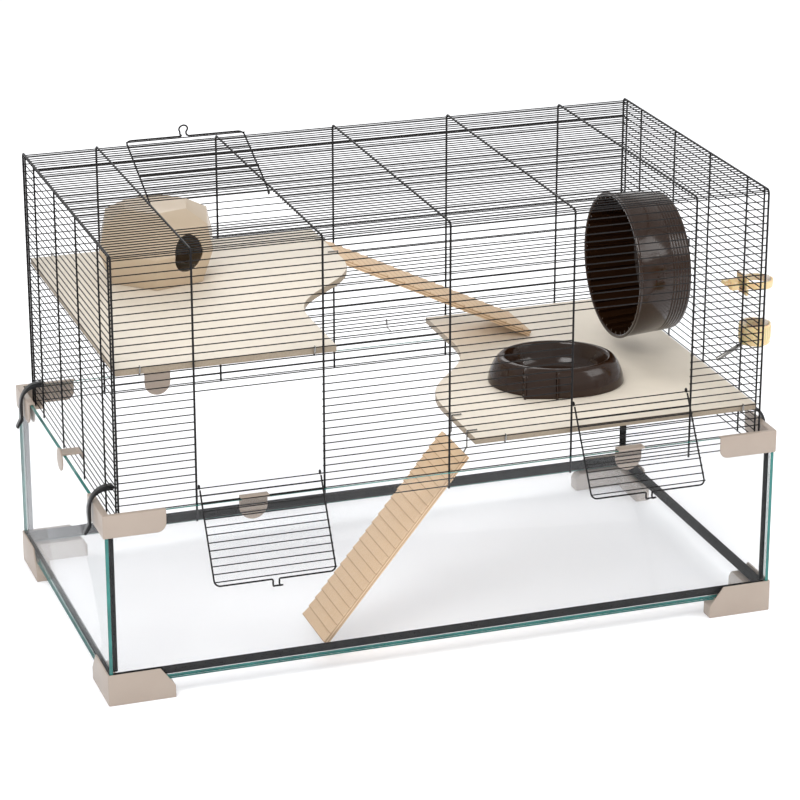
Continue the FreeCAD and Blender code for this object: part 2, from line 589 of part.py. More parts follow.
def make_wheel():
    cy, cz = WHEEL_AT
    near, far = WHEEL_NEAR_X, WHEEL_NEAR_X + WHEEL_LENGTH
    outer = Part.makeCone(WHEEL_R, WHEEL_REAR_R, WHEEL_LENGTH, V(near, cy, cz), X_AXIS)
    inner = Part.makeCone(WHEEL_R - WHEEL_WALL, WHEEL_REAR_R - WHEEL_WALL, WHEEL_LENGTH - WHEEL_WALL,
                          V(near - 0.01, cy, cz), X_AXIS)
    drum = outer.cut(inner)
    hub_start = far - HUB_LENGTH - WHEEL_WALL
    hub = Part.makeCylinder(HUB_R, HUB_LENGTH, V(hub_start, cy, cz), X_AXIS)
    lip = Part.makeCylinder(WHEEL_R, WHEEL_LIP, V(near, cy, cz), X_AXIS)
    lip = lip.cut(Part.makeCylinder(WHEEL_R - WHEEL_LIP_WALL, WHEEL_LIP, V(near, cy, cz), X_AXIS))
    ribs = []
    for n in range(RIB_COUNT):
        start, end, y = near + 4.0, far - 1.0, cy - RIB_WIDTH / 2
        front_z, rear_z = cz - WHEEL_R + 1.0, cz - WHEEL_REAR_R + 1.0
        rib = prism([(start, y, front_z), (start, y, front_z + RIB_RISE), (end, y, rear_z + RIB_RISE),
                     (end, y, rear_z)], (0, RIB_WIDTH, 0))
        ribs.append(turned(rib, (near, cy, cz), X_AXIS, 360.0 / RIB_COUNT * n))
    drum = drum.multiFuse([hub, lip] + ribs)
    bore = Part.makeCylinder(AXLE_R + AXLE_CLEARANCE, 30.0, V(far - 20.0, cy, cz), X_AXIS)
    save("wheel_drum", drum.cut(bore))

    bracket_x = CAGE_HALF_X - POST_R - 2 * BAR_R + WELD - 4.0
    collar_start = far + 0.6
    axle_start = hub_start - 1.5
    axle = Part.makeCylinder(AXLE_R, bracket_x - axle_start, V(axle_start, cy, cz), X_AXIS)
    save("wheel_axle", axle)
    cap_face = axle_start - AXLE_CAP_THICK
    axle_cap = Part.makeCylinder(AXLE_CAP_R, AXLE_CAP_THICK, V(cap_face, cy, cz), X_AXIS)
    save("wheel_axle_cap", axle_cap.makeFillet(1.2, [axle_cap.Edges[0]]))
    collar = Part.makeCylinder(AXLE_CAP_R, bracket_x - collar_start, V(collar_start, cy, cz), X_AXIS)
    bar_index = math.floor((FIRST_BAR_Z - cz) / PITCH)
    plate = box(bracket_x, bracket_x + BRACKET_THICK, cy - BRACKET_HALF_Y, cy + BRACKET_HALF_Y,
                cz - BRACKET_HALF_Z, cz + BRACKET_HALF_Z)
    plate = plate.makeFillet(6.0, [e for e in plate.Edges if abs(e.tangentAt(0).x) > 0.9])
    bracket = fuse([collar, plate]).cut(axle)
    hook_r = BRACKET_HOOK_R
    hooks = []
    for side in (-1, 1):
        for rows_up in (2, -2):
            z = bar_z(bar_index - rows_up) + BAR_R + hook_r + 0.3
            y = cy + side * BRACKET_HOOK_Y
            inner_x, outer_x = bracket_x + 2.0, CAGE_HALF_X + POST_R + hook_r + 0.4
            hooks.append(bent_wire([(inner_x, y, z), (outer_x, y, z), (outer_x, y, z - BRACKET_HOOK_DROP)],
                                   hook_r))
    save("wheel_bracket", fuse([bracket] + hooks))


# ---- bowl: oval, with a flared foot and a flat scoop at the front ----
BOWL_HALF_X, BOWL_HALF_Y, BOWL_HEIGHT = 99.0, 77.0, 40.0


def make_bowl():
    profile_out = [(0.0, 0.0), (1.0, 0.0), (1.0, 0.1), (0.955, 0.52), (0.875, 0.88), (0.81, 1.0),
                   (0.785, 1.0)]
    profile_in = [(0.745, 0.9), (0.655, 0.27), (0.45, 0.13), (0.0, 0.12)]
    pts = [V(BOWL_HALF_X * r, 0, BOWL_HEIGHT * z) for r, z in profile_out + profile_in]
    face = Part.Face(Part.makePolygon(pts + pts[:1]))
    body = face.revolve(V(0, 0, 0), Z_AXIS, 360)
    if not body.ShapeType == "Solid":
        body = Part.makeSolid(Part.makeShell(body.Faces))
    squeeze = FreeCAD.Matrix()
    squeeze.scale(1.0, BOWL_HALF_Y / BOWL_HALF_X, 1.0)
    body = body.transformGeometry(squeeze)
    body.rotate(V(0, 0, 0), Z_AXIS, BOWL_TURN)
    save("bowl", moved(body, BOWL_AT[0], BOWL_AT[1], LOWER_SHELF_TOP + 0.2))


# ---- drinking bottle outside the right end wall ----
BODY_R, BODY_WALL, BODY_Z0, BODY_Z1 = 20.5, 1.5, 400.0, 564.0
CAP_R, CAP_Z0, CAP_Z1 = 22.8, 384.0, 414.0
BOTTLE_FIT = 0.3
TOP_ROUND, CAP_ROUND = 12.0, 3.0
TUBE_R, TUBE_WALL = 3.2, 0.8
TUBE_SLOPE, TUBE_TIP_X, TUBE_ROOT_IN = 0.5, 438.0, 6.0
TUBE_BAR = 23                # the tube passes under this bar of the end wall
BALL_R, BALL_SPACE_R = 2.3, 2.6
RING_Z0, RING_Z1 = 471.0, 481.0
SCREW_R, SCREW_END_X = 2.5, 448.0
SCREW_BAR = 14               # the holder's screw passes under this bar
PLATE_HALF_W, PLATE_UP, PLATE_DOWN = 17.0, 13.0, 14.0
NUT_X0, NUT_X1, NUT_R = 454.0, 465.0, 8.0
WING_REACH, WING_SPAN, WING_HALF = 19.0, 13.0, 3.0


def make_bottle():
    bx, by = BOTTLE_AT
    outer = Part.makeCylinder(BODY_R, BODY_Z1 - BODY_Z0, V(bx, by, BODY_Z0))
    outer = outer.makeFillet(TOP_ROUND, [e for e in outer.Edges if abs(e.BoundBox.ZMin - BODY_Z1) < 0.01])
    hollow_top = BODY_Z1 - BODY_WALL
    inner = Part.makeCylinder(BODY_R - BODY_WALL, hollow_top - BODY_Z0 + 1, V(bx, by, BODY_Z0 - 1))
    inner = inner.makeFillet(TOP_ROUND - BODY_WALL,
                             [e for e in inner.Edges if abs(e.BoundBox.ZMin - hollow_top) < 0.01])
    save("bottle_body", outer.cut(inner))

    screw_cap = Part.makeCylinder(CAP_R, CAP_Z1 - CAP_Z0, V(bx, by, CAP_Z0))
    screw_cap = screw_cap.makeFillet(CAP_ROUND,
                                     [e for e in screw_cap.Edges if abs(e.BoundBox.ZMax - CAP_Z0) < 0.01])
    seat = Part.makeCylinder(BODY_R + BOTTLE_FIT, CAP_Z1 - BODY_Z0 + 1, V(bx, by, BODY_Z0))
    # the tube leaves the cap and slants in between two bars
    gap_z = (bar_z(TUBE_BAR) + bar_z(TUBE_BAR + 1)) / 2
    wire_x = CAGE_HALF_X - POST_R - BAR_R + WELD
    root_x = bx - TUBE_ROOT_IN
    high = (root_x, by, gap_z + TUBE_SLOPE * (root_x - wire_x))
    low = (TUBE_TIP_X, by, gap_z + TUBE_SLOPE * (TUBE_TIP_X - wire_x))
    tube = rod(high, low, TUBE_R)
    bore = rod(high, low, TUBE_R - TUBE_WALL)
    save("bottle_cap", screw_cap.cut(seat).cut(tube))
    pinch = Part.makeSphere(TUBE_R - 0.5, V(*low))
    direction = V(*low) - V(*high)
    direction.normalize()
    ball_at = V(*low) - direction * 1.6
    tip = tube.common(pinch).cut(bore)
    save("bottle_tube", tube.cut(bore).fuse(tip).cut(Part.makeSphere(BALL_SPACE_R, ball_at)))
    save("bottle_ball", Part.makeSphere(BALL_R, ball_at))

    # the holder: a ring round the body, a plate against the wires, and a screw in between two bars
    ring = Part.makeCylinder(BODY_R + 3.0, RING_Z1 - RING_Z0, V(bx, by, RING_Z0))
    arm_z = (bar_z(SCREW_BAR) + bar_z(SCREW_BAR + 1)) / 2
    plate_x = CAGE_HALF_X + POST_R + 0.9
    plate = box(plate_x, bx - BODY_R, by - PLATE_HALF_W, by + PLATE_HALF_W,
                arm_z - PLATE_DOWN, arm_z + PLATE_UP)
    hole = Part.makeCylinder(BODY_R + BOTTLE_FIT, BODY_Z1 - BODY_Z0, V(bx, by, BODY_Z0))
    screw = rod((SCREW_END_X, by, arm_z), (plate_x + 1.0, by, arm_z), SCREW_R)
    save("bottle_ring", fuse([ring.fuse(plate).cut(hole), screw]))
    nut = rod((NUT_X0, by, arm_z), (NUT_X1, by, arm_z), NUT_R)
    wing_x0, wing_x1 = NUT_X0 - 5.0, NUT_X0 + 6.0
    wings = [box(wing_x0, wing_x1, by + y0, by + y0 + WING_SPAN, arm_z - WING_HALF, arm_z + WING_HALF)
             for y0 in (-WING_REACH, WING_REACH - WING_SPAN)]
    thread = rod((NUT_X0 - 14.0, by, arm_z), (NUT_X1 + 14.0, by, arm_z), SCREW_R + 0.08)
    save("bottle_wing_nut", fuse([nut] + wings).cut(thread))


# ---- lever clips: hook round a bar of the end wall, and press down outside the corner cap ----
LEVER_BAR = 31
LEVER_Y = 212.0
LEVER_WIDTH, LEVER_EYE_R = 9.0, 4.0


def lever():
    """Left front clip, as a band of constant width along y."""
    hx = -(CAGE_HALF_X - POST_R - BAR_R + WELD)
    hz = bar_z(LEVER_BAR)
    y = -LEVER_Y - LEVER_WIDTH / 2
    eye = Part.makeCylinder(LEVER_EYE_R, LEVER_WIDTH, V(hx, y, hz), Y_AXIS)
    outer_side = [(-3.4, 3.2), (-14.0, 1.5), (-26.0, -8.0), (-33.0, -24.0), (-33.5, -42.0), (-32.5, -52.0)]
    inner_side = [(-29.5, -52.0), (-29.3, -42.0), (-29.0, -25.0), (-27.6, -17.0), (-22.0, -9.5),
                  (-12.0, -4.5), (-2.0, -3.6)]
    toe = [(-32.8, -49.0), (-40.0, -63.0), (-37.5, -65.0), (-29.5, -54.0), (-29.5, -50.0)]

    def spline(points):
        curve = Part.BSplineCurve()
        curve.interpolate([V(hx + x, y, hz + z) for x, z in points])
        return curve.toShape()

    def line(a, b):
        return Part.LineSegment(V(hx + a[0], y, hz + a[1]), V(hx + b[0], y, hz + b[1])).toShape()

    edges = [spline(outer_side), line(outer_side[-1], inner_side[0]), spline(inner_side),
             line(inner_side[-1], outer_side[0])]
    arm = Part.Face(Part.Wire(edges)).extrude(V(0, LEVER_WIDTH, 0))
    toe_points = [(hx + x, y, hz + z) for x, z in toe]
    body = fuse([eye, arm, prism(toe_points, (0, LEVER_WIDTH, 0))])
    hole = Part.makeCylinder(BAR_R + EYE_CLEARANCE, LEVER_WIDTH + 2, V(hx, y - 1, hz), Y_AXIS)
    return body.cut(hole)


def make_levers():
    shape = lever()
    for name, flip_x, flip_y in CORNERS:
        save("lever_clip_" + name, mirrored(shape, flip_x, flip_y))


make_tank()
make_feet()
make_caps()
make_rim_clips()
make_hoops()
make_bars()
make_side_panels()
make_doors()
make_shelves()
make_ladders()
make_house()
make_wheel()
make_bowl()
make_bottle()
make_levers()
export_all()
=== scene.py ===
"""Looks of the hamster cage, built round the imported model. Sizes in the classes are millimetres."""
import json
import logging
import math
from dataclasses import dataclass
from enum import Enum
from typing import Any, Iterable

import bmesh
import bpy
from mathutils import Matrix, Vector


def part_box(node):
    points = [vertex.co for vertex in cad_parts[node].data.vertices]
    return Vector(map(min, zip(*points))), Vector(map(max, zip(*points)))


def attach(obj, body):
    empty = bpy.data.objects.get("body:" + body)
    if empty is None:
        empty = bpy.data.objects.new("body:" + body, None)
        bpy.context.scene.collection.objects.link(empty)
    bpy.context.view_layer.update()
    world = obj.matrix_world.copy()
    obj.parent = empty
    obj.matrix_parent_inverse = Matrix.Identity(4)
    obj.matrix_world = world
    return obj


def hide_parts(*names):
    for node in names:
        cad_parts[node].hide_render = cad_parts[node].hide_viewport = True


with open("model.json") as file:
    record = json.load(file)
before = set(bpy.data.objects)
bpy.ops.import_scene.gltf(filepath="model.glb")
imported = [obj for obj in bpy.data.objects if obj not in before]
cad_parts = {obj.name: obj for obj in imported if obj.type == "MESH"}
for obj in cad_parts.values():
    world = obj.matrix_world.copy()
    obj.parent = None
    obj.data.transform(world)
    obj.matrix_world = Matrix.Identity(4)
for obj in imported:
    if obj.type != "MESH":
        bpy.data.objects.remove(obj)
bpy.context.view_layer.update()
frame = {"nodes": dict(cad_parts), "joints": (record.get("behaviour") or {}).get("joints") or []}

BMesh, Socket = bmesh.types.BMesh, bpy.types.NodeSocket
MM = 0.001
X, Y, Z = Vector((1, 0, 0)), Vector((0, 1, 0)), Vector((0, 0, 1))
log = logging.getLogger("hamster_cage")


# ---------------------------------------------------------------- places
def tank_centre() -> Vector:
    """Middle of the glass tank's footprint, on the floor."""
    low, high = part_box("glass_floor")
    return Vector(((low.x + high.x) / 2, (low.y + high.y) / 2, 0.0))


HOME = tank_centre()


def at(x: float, y: float, z: float) -> Vector:
    """Turn a place measured in millimetres from the tank's middle into the row frame, in metres."""
    return HOME + Vector((x, y, z)) * MM


def joint_place(name: str) -> Vector:
    """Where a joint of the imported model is, in metres."""
    return Vector(next(j for j in frame["joints"] if j["name"] == name)["pos_m"])


class Corner(Enum):
    """The four corners of the tank: the suffix in the node names."""
    FRONT_LEFT = "front_left"
    FRONT_RIGHT = "front_right"
    BACK_LEFT = "back_left"
    BACK_RIGHT = "back_right"


# ---------------------------------------------------------------- node helpers
def linear(hex_code: str) -> tuple[float, float, float, float]:
    """Turn an sRGB hex colour into linear RGBA.

    Args:
        hex_code: six hex digits with a leading hash.

    Returns:
        Linear red, green, blue and an alpha of 1.
    """
    parts = [int(hex_code[i:i + 2], 16) / 255 for i in (1, 3, 5)]
    red, green, blue = (c / 12.92 if c <= 0.04045 else ((c + 0.055) / 1.055) ** 2.4 for c in parts)
    return red, green, blue, 1.0


def fill(tree: bpy.types.NodeTree, node: bpy.types.Node, inputs: dict[Any, Any]) -> None:
    """Set inputs of a node, by socket name or number, or link them where the value is an output socket."""
    for key, value in inputs.items():
        if isinstance(value, Socket):
            tree.links.new(value, node.inputs[key])
        else:
            node.inputs[key].default_value = value


def add_node(tree: bpy.types.NodeTree, kind: str, inputs: dict[Any, Any] | None = None,
             **settings: Any) -> bpy.types.Node:
    """Add a node, set its properties, and fill or link its inputs.

    Args:
        tree: the material's node tree.
        kind: the node's type name.
        inputs: socket name or number to a value, or to an output socket to link.
        settings: properties of the node.

    Returns:
        The new node.
    """
    node = tree.nodes.new(kind)
    for key, value in settings.items():
        setattr(node, key, value)
    fill(tree, node, inputs or {})
    return node


class Shading:
    """The nodes of one material, with a short call for each kind that the finishes share."""

    def __init__(self, material: bpy.types.Material) -> None:
        """Start with a Principled shader and Object coordinates, in metres."""
        material.use_nodes = True
        self.tree = material.node_tree
        self.tree.nodes.clear()
        self.shader = add_node(self.tree, "ShaderNodeBsdfPrincipled")
        add_node(self.tree, "ShaderNodeOutputMaterial", {"Surface": self.shader.outputs["BSDF"]})
        self.place = add_node(self.tree, "ShaderNodeTexCoord").outputs["Object"]

    def put(self, inputs: dict[str, Any]) -> None:
        """Set or link inputs of the shader."""
        fill(self.tree, self.shader, inputs)

    def noise(self, grain_mm: float, detail: float = 2.0, vector: Socket | None = None,
              **inputs: float) -> Socket:
        """Noise on the surface.

        Args:
            grain_mm: about how wide its grains are.
            detail: how many finer layers it has.
            vector: coordinates in metres, if not the object's own.
            inputs: further inputs of the node.

        Returns:
            Its value, from 0 to 1.
        """
        return add_node(self.tree, "ShaderNodeTexNoise",
                        {"Vector": self.place if vector is None else vector, "Scale": 1.0 / (grain_mm * MM),
                         "Detail": detail, **inputs}).outputs["Fac"]

    def spread(self, value: Socket, low: float, high: float, full: float = 1.0) -> Socket:
        """Spread a value that runs from 0 to full over low to high."""
        return add_node(self.tree, "ShaderNodeMapRange", {"Value": value, "From Max": full, "To Min": low,
                                                          "To Max": high}).outputs[0]

    def mix(self, share: Any, first: Any, second: Any, blend: str = "MIX") -> Socket:
        """Mix two colours, each a socket or linear RGBA."""
        return add_node(self.tree, "ShaderNodeMix", {0: share, 6: first, 7: second}, data_type="RGBA",
                        blend_type=blend).outputs[2]

    def calc(self, operation: str, *values: Any, clamp: bool = False) -> Socket:
        """Work out one sum from sockets or numbers."""
        return add_node(self.tree, "ShaderNodeMath", dict(enumerate(values)), operation=operation,
                        use_clamp=clamp).outputs[0]

    def bump(self, height: Socket, depth_mm: float, strength: float = 1.0) -> None:
        """Roughen the surface by a height, depth_mm deep."""
        bump = add_node(self.tree, "ShaderNodeBump", {"Height": height, "Distance": depth_mm * MM,
                                                      "Strength": strength})
        self.put({"Normal": bump.outputs[0]})

    def faces_along(self, axis: str, share: float) -> Socket:
        """1 where the surface faces along an axis, either way, by more than a share, and 0 elsewhere."""
        normal = add_node(self.tree, "ShaderNodeNewGeometry").outputs["Normal"]
        along = add_node(self.tree, "ShaderNodeSeparateXYZ", {0: normal}).outputs[axis]
        return self.calc("GREATER_THAN", self.calc("ABSOLUTE", along), share)


@dataclass(frozen=True)
class Finish:
    """What a surface is made of. Subclasses fill in the shader."""
    name: str

    def material(self) -> bpy.types.Material:
        """The one material of this finish, made on first use."""
        known = bpy.data.materials.get(self.name)
        if known:
            return known
        made = bpy.data.materials.new(self.name)
        self.dress(Shading(made))
        return made

    def dress(self, shading: Shading) -> None:
        """Fill in the material's shading."""
        raise NotImplementedError


@dataclass(frozen=True)
class PowderCoat(Finish):
    """Black polyester powder on steel wire: a soft gloss with a fine orange peel."""
    colour: str = "#0b090a"
    worn: str = "#141112"
    peel_mm: float = 1.2
    patch_mm: float = 40.0

    def dress(self, shading: Shading) -> None:
        """Near-black coat, slightly thinner in places."""
        peel = shading.noise(self.peel_mm)
        shading.bump(peel, 0.02, 0.5)
        tint = shading.mix(shading.noise(self.patch_mm), linear(self.colour), linear(self.worn))
        shading.put({"Base Color": tint, "Roughness": shading.spread(peel, 0.38, 0.55),
                     "Specular IOR Level": 0.22})


@dataclass(frozen=True)
class ClearSheet(Finish):
    """Clear float glass or blown plastic: almost nothing face on, a mirror at a glancing angle."""
    colour: str = "#f4f7fb"
    body: float = 0.008
    edge: float = 0.22
    wipe_mm: float = 60.0

    def dress(self, shading: Shading) -> None:
        """Thin-walled clear sheet: opacity rises with the Fresnel share, and wiping leaves faint haze."""
        shine = add_node(shading.tree, "ShaderNodeFresnel", {"IOR": 1.45}).outputs[0]
        haze = shading.noise(self.wipe_mm, 4.0)
        hazy = shading.spread(haze, self.body * 0.85, self.body * 1.15)
        shading.put({"Alpha": shading.calc("MULTIPLY_ADD", shine, self.edge, hazy, clamp=True),
                     "Roughness": shading.spread(haze, 0.02, 0.06), "Base Color": linear(self.colour),
                     "IOR": 1.52})


@dataclass(frozen=True)
class GlassEdge(Finish):
    """Ground and polished edge of float glass: the iron in the glass shows as deep sea green."""
    colour: str = "#0d4744"
    light: str = "#2f8a82"

    def dress(self, shading: Shading) -> None:
        """Green that runs lighter and darker along the edge."""
        runs = shading.noise(35.0, 3.0)
        shading.bump(shading.noise(0.8), 0.02)
        shading.put({"Base Color": shading.mix(runs, linear(self.colour), linear(self.light)),
                     "Roughness": 0.12, "IOR": 1.52, "Coat Weight": 0.2})


@dataclass(frozen=True)
class Silicone(Finish):
    """Black acetoxy silicone, tooled by hand: rubbery sheen with slow waves and small drag marks."""
    colour: str = "#060607"

    def dress(self, shading: Shading) -> None:
        """Waves 12 mm long under drag marks 2 mm wide."""
        waves, drag = shading.noise(12.0), shading.noise(2.0, 5.0)
        shading.bump(shading.calc("MULTIPLY_ADD", drag, 0.3, waves), 0.8)
        shading.put({"Roughness": shading.spread(waves, 0.32, 0.55), "Base Color": linear(self.colour),
                     "Specular IOR Level": 0.3})


@dataclass(frozen=True)
class Moulded(Finish):
    """Injection-moulded ABS or polypropylene, from a spark-eroded or a polished mould."""
    colour: str = "#a6988c"
    second: str = "#9e9084"
    roughness: float = 0.42
    texture_mm: float = 0.9
    depth_mm: float = 0.03
    coat: float = 0.1
    shine: float = 0.5
    opacity: float = 1.0
    glow: float = 0.0

    def dress(self, shading: Shading) -> None:
        """Even colour with slow flow patches, and the mould's fine texture as bump."""
        flow = shading.noise(45.0)
        shading.bump(shading.noise(self.texture_mm, 3.0), self.depth_mm, 0.6)
        shading.put({"Base Color": shading.mix(flow, linear(self.colour), linear(self.second)),
                     "Roughness": shading.spread(flow, self.roughness * 0.85, self.roughness * 1.15),
                     "Specular IOR Level": self.shine, "Coat Weight": self.coat, "Coat Roughness": 0.08,
                     "Alpha": self.opacity, "Subsurface Weight": self.glow, "Subsurface Scale": 4 * MM})


@dataclass(frozen=True)
class FacedBoard(Finish):
    """Wood-fibre board with a cream melamine face: a matt, faintly mottled top, and upright sides painted a
    darker grey-brown as painted shade.
    """
    face: str = "#e2d8c8"
    # painted shade: the darker grey-brown that the upright sides are painted, a shaded copy of the cream
    side: str = "#a39480"

    def dress(self, shading: Shading) -> None:
        """Melamine where the surface lies flat; elsewhere painted shade, a darker grey-brown with fibres 2 mm
        long.
        """
        fibres = shading.noise(2.0, 6.0)
        shade = shading.spread(shading.noise(25.0, 6.0), 0.95, 1.04)
        top = shading.mix(1.0, linear(self.face), shade, "MULTIPLY")
        # painted shade on the upright sides, mixed in by which way the surface faces
        side = shading.mix(1.0, linear(self.side), shading.spread(fibres, 0.7, 1.2), "MULTIPLY")
        shading.bump(fibres, 0.05)
        shading.put({"Base Color": shading.mix(shading.faces_along("Z", 0.9), side, top), "Roughness": 0.5})


@dataclass(frozen=True)
class BirchPly(Finish):
    """Raw birch plywood: pale long grain on the faces, thin darker plies in the sawn edge."""
    foot: tuple[float, float, float] = (0.0, 0.0, 0.0)
    slope: float = 0.0
    rises_to_low_x: bool = False
    step_mm: float = 15.0
    scorch_mm: float = 1.6
    thick_mm: float = 9.0
    plies: int = 5

    def dress(self, shading: Shading) -> None:
        """Coordinates are turned: x runs up the board from its foot, and z goes through its thickness."""
        tree, flip = shading.tree, self.rises_to_low_x
        turn = -(math.pi - self.slope) if flip else -self.slope
        board = add_node(tree, "ShaderNodeMapping",
                         {"Vector": shading.place, "Location": self.foot, "Rotation": (0.0, turn, 0.0),
                          "Scale": (1.0, 1.0, -1.0 if flip else 1.0)}, vector_type="TEXTURE").outputs[0]
        axes = add_node(tree, "ShaderNodeSeparateXYZ", {0: board}).outputs
        along = add_node(tree, "ShaderNodeMapping", {"Vector": board, "Scale": (0.06, 1.0, 1.0)}).outputs[0]
        grain = shading.noise(2.5, 8.0, along, Roughness=0.65, Distortion=0.4)
        wood = shading.mix(grain, linear("#c9a681"), linear("#e8d0b2"))
        wood = shading.mix(shading.noise(14.0, 3.0, along), wood, linear("#d9ba95"))
        # the end of each step is sawn and slightly scorched
        steps = shading.calc("MODULO", axes["X"], self.step_mm * MM)
        steps = shading.spread(steps, 0.75, 0.0, self.scorch_mm * MM)
        upper = shading.calc("GREATER_THAN", axes["Z"], self.thick_mm * 0.6 * MM)
        wood = shading.mix(shading.calc("MULTIPLY", steps, upper), wood, linear("#8a5f3a"))
        # plies in the edge faces
        ply = self.thick_mm / self.plies
        ply = shading.calc("GREATER_THAN", shading.calc("MODULO", axes["Z"], ply * 2 * MM), ply * MM)
        dark_ply = shading.calc("MULTIPLY", ply, shading.faces_along("Y", 0.8))
        wood = shading.mix(shading.calc("MULTIPLY", dark_ply, 0.55), wood, linear("#8a6442"))
        shading.bump(grain, 0.12)
        shading.put({"Base Color": wood, "Roughness": 0.62})


@dataclass(frozen=True)
class BrightSteel(Finish):
    """Drawn stainless steel: bright, with fine lines left by the die."""
    colour: str = "#8f8d8a"

    def dress(self, shading: Shading) -> None:
        """Metal with scratches 0.5 mm apart, drawn as coarse as they need to show."""
        shading.put({"Roughness": shading.spread(shading.noise(0.5, 4.0), 0.16, 0.32),
                     "Base Color": linear(self.colour), "Metallic": 1.0})


@dataclass(frozen=True)
class PaperSweep(Finish):
    """White background paper, lit a little from behind."""
    colour: str = "#fbfbfb"
    lift: str = "#e4ebff"

    def dress(self, shading: Shading) -> None:
        """Matt white with a trace of tooth."""
        shading.put({"Roughness": shading.spread(shading.noise(3.0), 0.85, 1.0), "Specular IOR Level": 0.1,
                     "Base Color": linear(self.colour), "Emission Color": linear(self.lift),
                     "Emission Strength": 0.16})


BLACK_WIRE = PowderCoat("black powder coat")
FLOAT_GLASS = ClearSheet("float glass")
GLASS_EDGE = GlassEdge("polished glass edge")
SILICONE = Silicone("black silicone")
BEIGE_ABS = Moulded("beige ABS")
CREAM_ABS = Moulded("cream ABS of the house", colour="#c6b39b", second="#bda98f", roughness=0.36, coat=0.15)
BROWN_PP = Moulded("dark brown polypropylene", colour="#25150a", second="#2d1b0f", roughness=0.16,
                   texture_mm=4.0, depth_mm=0.02, coat=0.15, shine=0.3)
BLACK_NYLON = Moulded("black nylon", colour="#09090a", second="#101011", roughness=0.3, coat=0.1, shine=0.35)
AMBER_PC = Moulded("amber polycarbonate", colour="#ecd6a6", second="#e5c387", roughness=0.22, texture_mm=5.0,
                   depth_mm=0.01, coat=0.4, opacity=0.9, glow=0.3)
BOTTLE_PET = ClearSheet("clear bottle PET", colour="#f4f6f7", body=0.015, edge=0.25, wipe_mm=30.0)
BOARD = FacedBoard("cream faced board")
STEEL = BrightSteel("bright drawn steel")


# ---------------------------------------------------------------- mesh helpers
def add_object(name: str, data: bpy.types.ID) -> bpy.types.Object:
    """Put a mesh, a camera or a light into the scene."""
    made = bpy.data.objects.new(name, data)
    bpy.context.scene.collection.objects.link(made)
    return made


def finish_piece(name: str, mesh_data: BMesh, finishes: Iterable[Finish], body: str,
                 replaced: Iterable[str] = (), crease_deg: float = 35.0) -> None:
    """Turn a bmesh into a finished piece of the object.

    Args:
        name: the piece's name.
        mesh_data: its geometry, in the row frame, in metres. It is freed.
        finishes: one finish for each material number of the faces.
        body: the body that it rides on.
        replaced: CAD nodes that it stands for.
        crease_deg: edges sharper than this stay sharp.
    """
    bmesh.ops.recalc_face_normals(mesh_data, faces=mesh_data.faces[:])
    for face in mesh_data.faces:
        face.smooth = True
    mesh = bpy.data.meshes.new(name)
    mesh_data.to_mesh(mesh)
    mesh_data.free()
    mesh.set_sharp_from_angle(angle=math.radians(crease_deg))
    piece = add_object(name, mesh)
    for finish in finishes:
        mesh.materials.append(finish.material())
    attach(piece, body)
    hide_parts(*replaced)
    log.info("%s: %d faces", name, len(mesh.polygons))


def finish_wires(node: str, mesh_data: BMesh, body: str = "wire_top", kind: str = "wires") -> None:
    """Finish black wires as the piece that stands for a CAD node."""
    finish_piece(f"{node}_{kind}", mesh_data, [BLACK_WIRE], body, [node])


def paint_node(node: str, finish: Finish) -> None:
    """Give a carried-over CAD node its finish."""
    piece = frame["nodes"][node]
    piece.data.materials.clear()
    piece.data.materials.append(finish.material())
    log.info("%s: carried over", node)


def facing(start: Vector, heading: Vector) -> Matrix:
    """Matrix that moves a shape from the origin to start and turns its Z to heading."""
    return Matrix.Translation(start) @ Z.rotation_difference(heading).to_matrix().to_4x4()


def add_rod(mesh_data: BMesh, start: Vector, end: Vector, radius: float, sides: int = 10) -> None:
    """Add a straight round rod.

    Args:
        mesh_data: where it goes.
        start: middle of one end.
        end: middle of the other end.
        radius: its radius, in metres.
        sides: how many faces round it.
    """
    run = end - start
    bmesh.ops.create_cone(mesh_data, cap_ends=True, segments=sides, radius1=radius, radius2=radius,
                          depth=run.length, matrix=facing((start + end) / 2, run.normalized()))


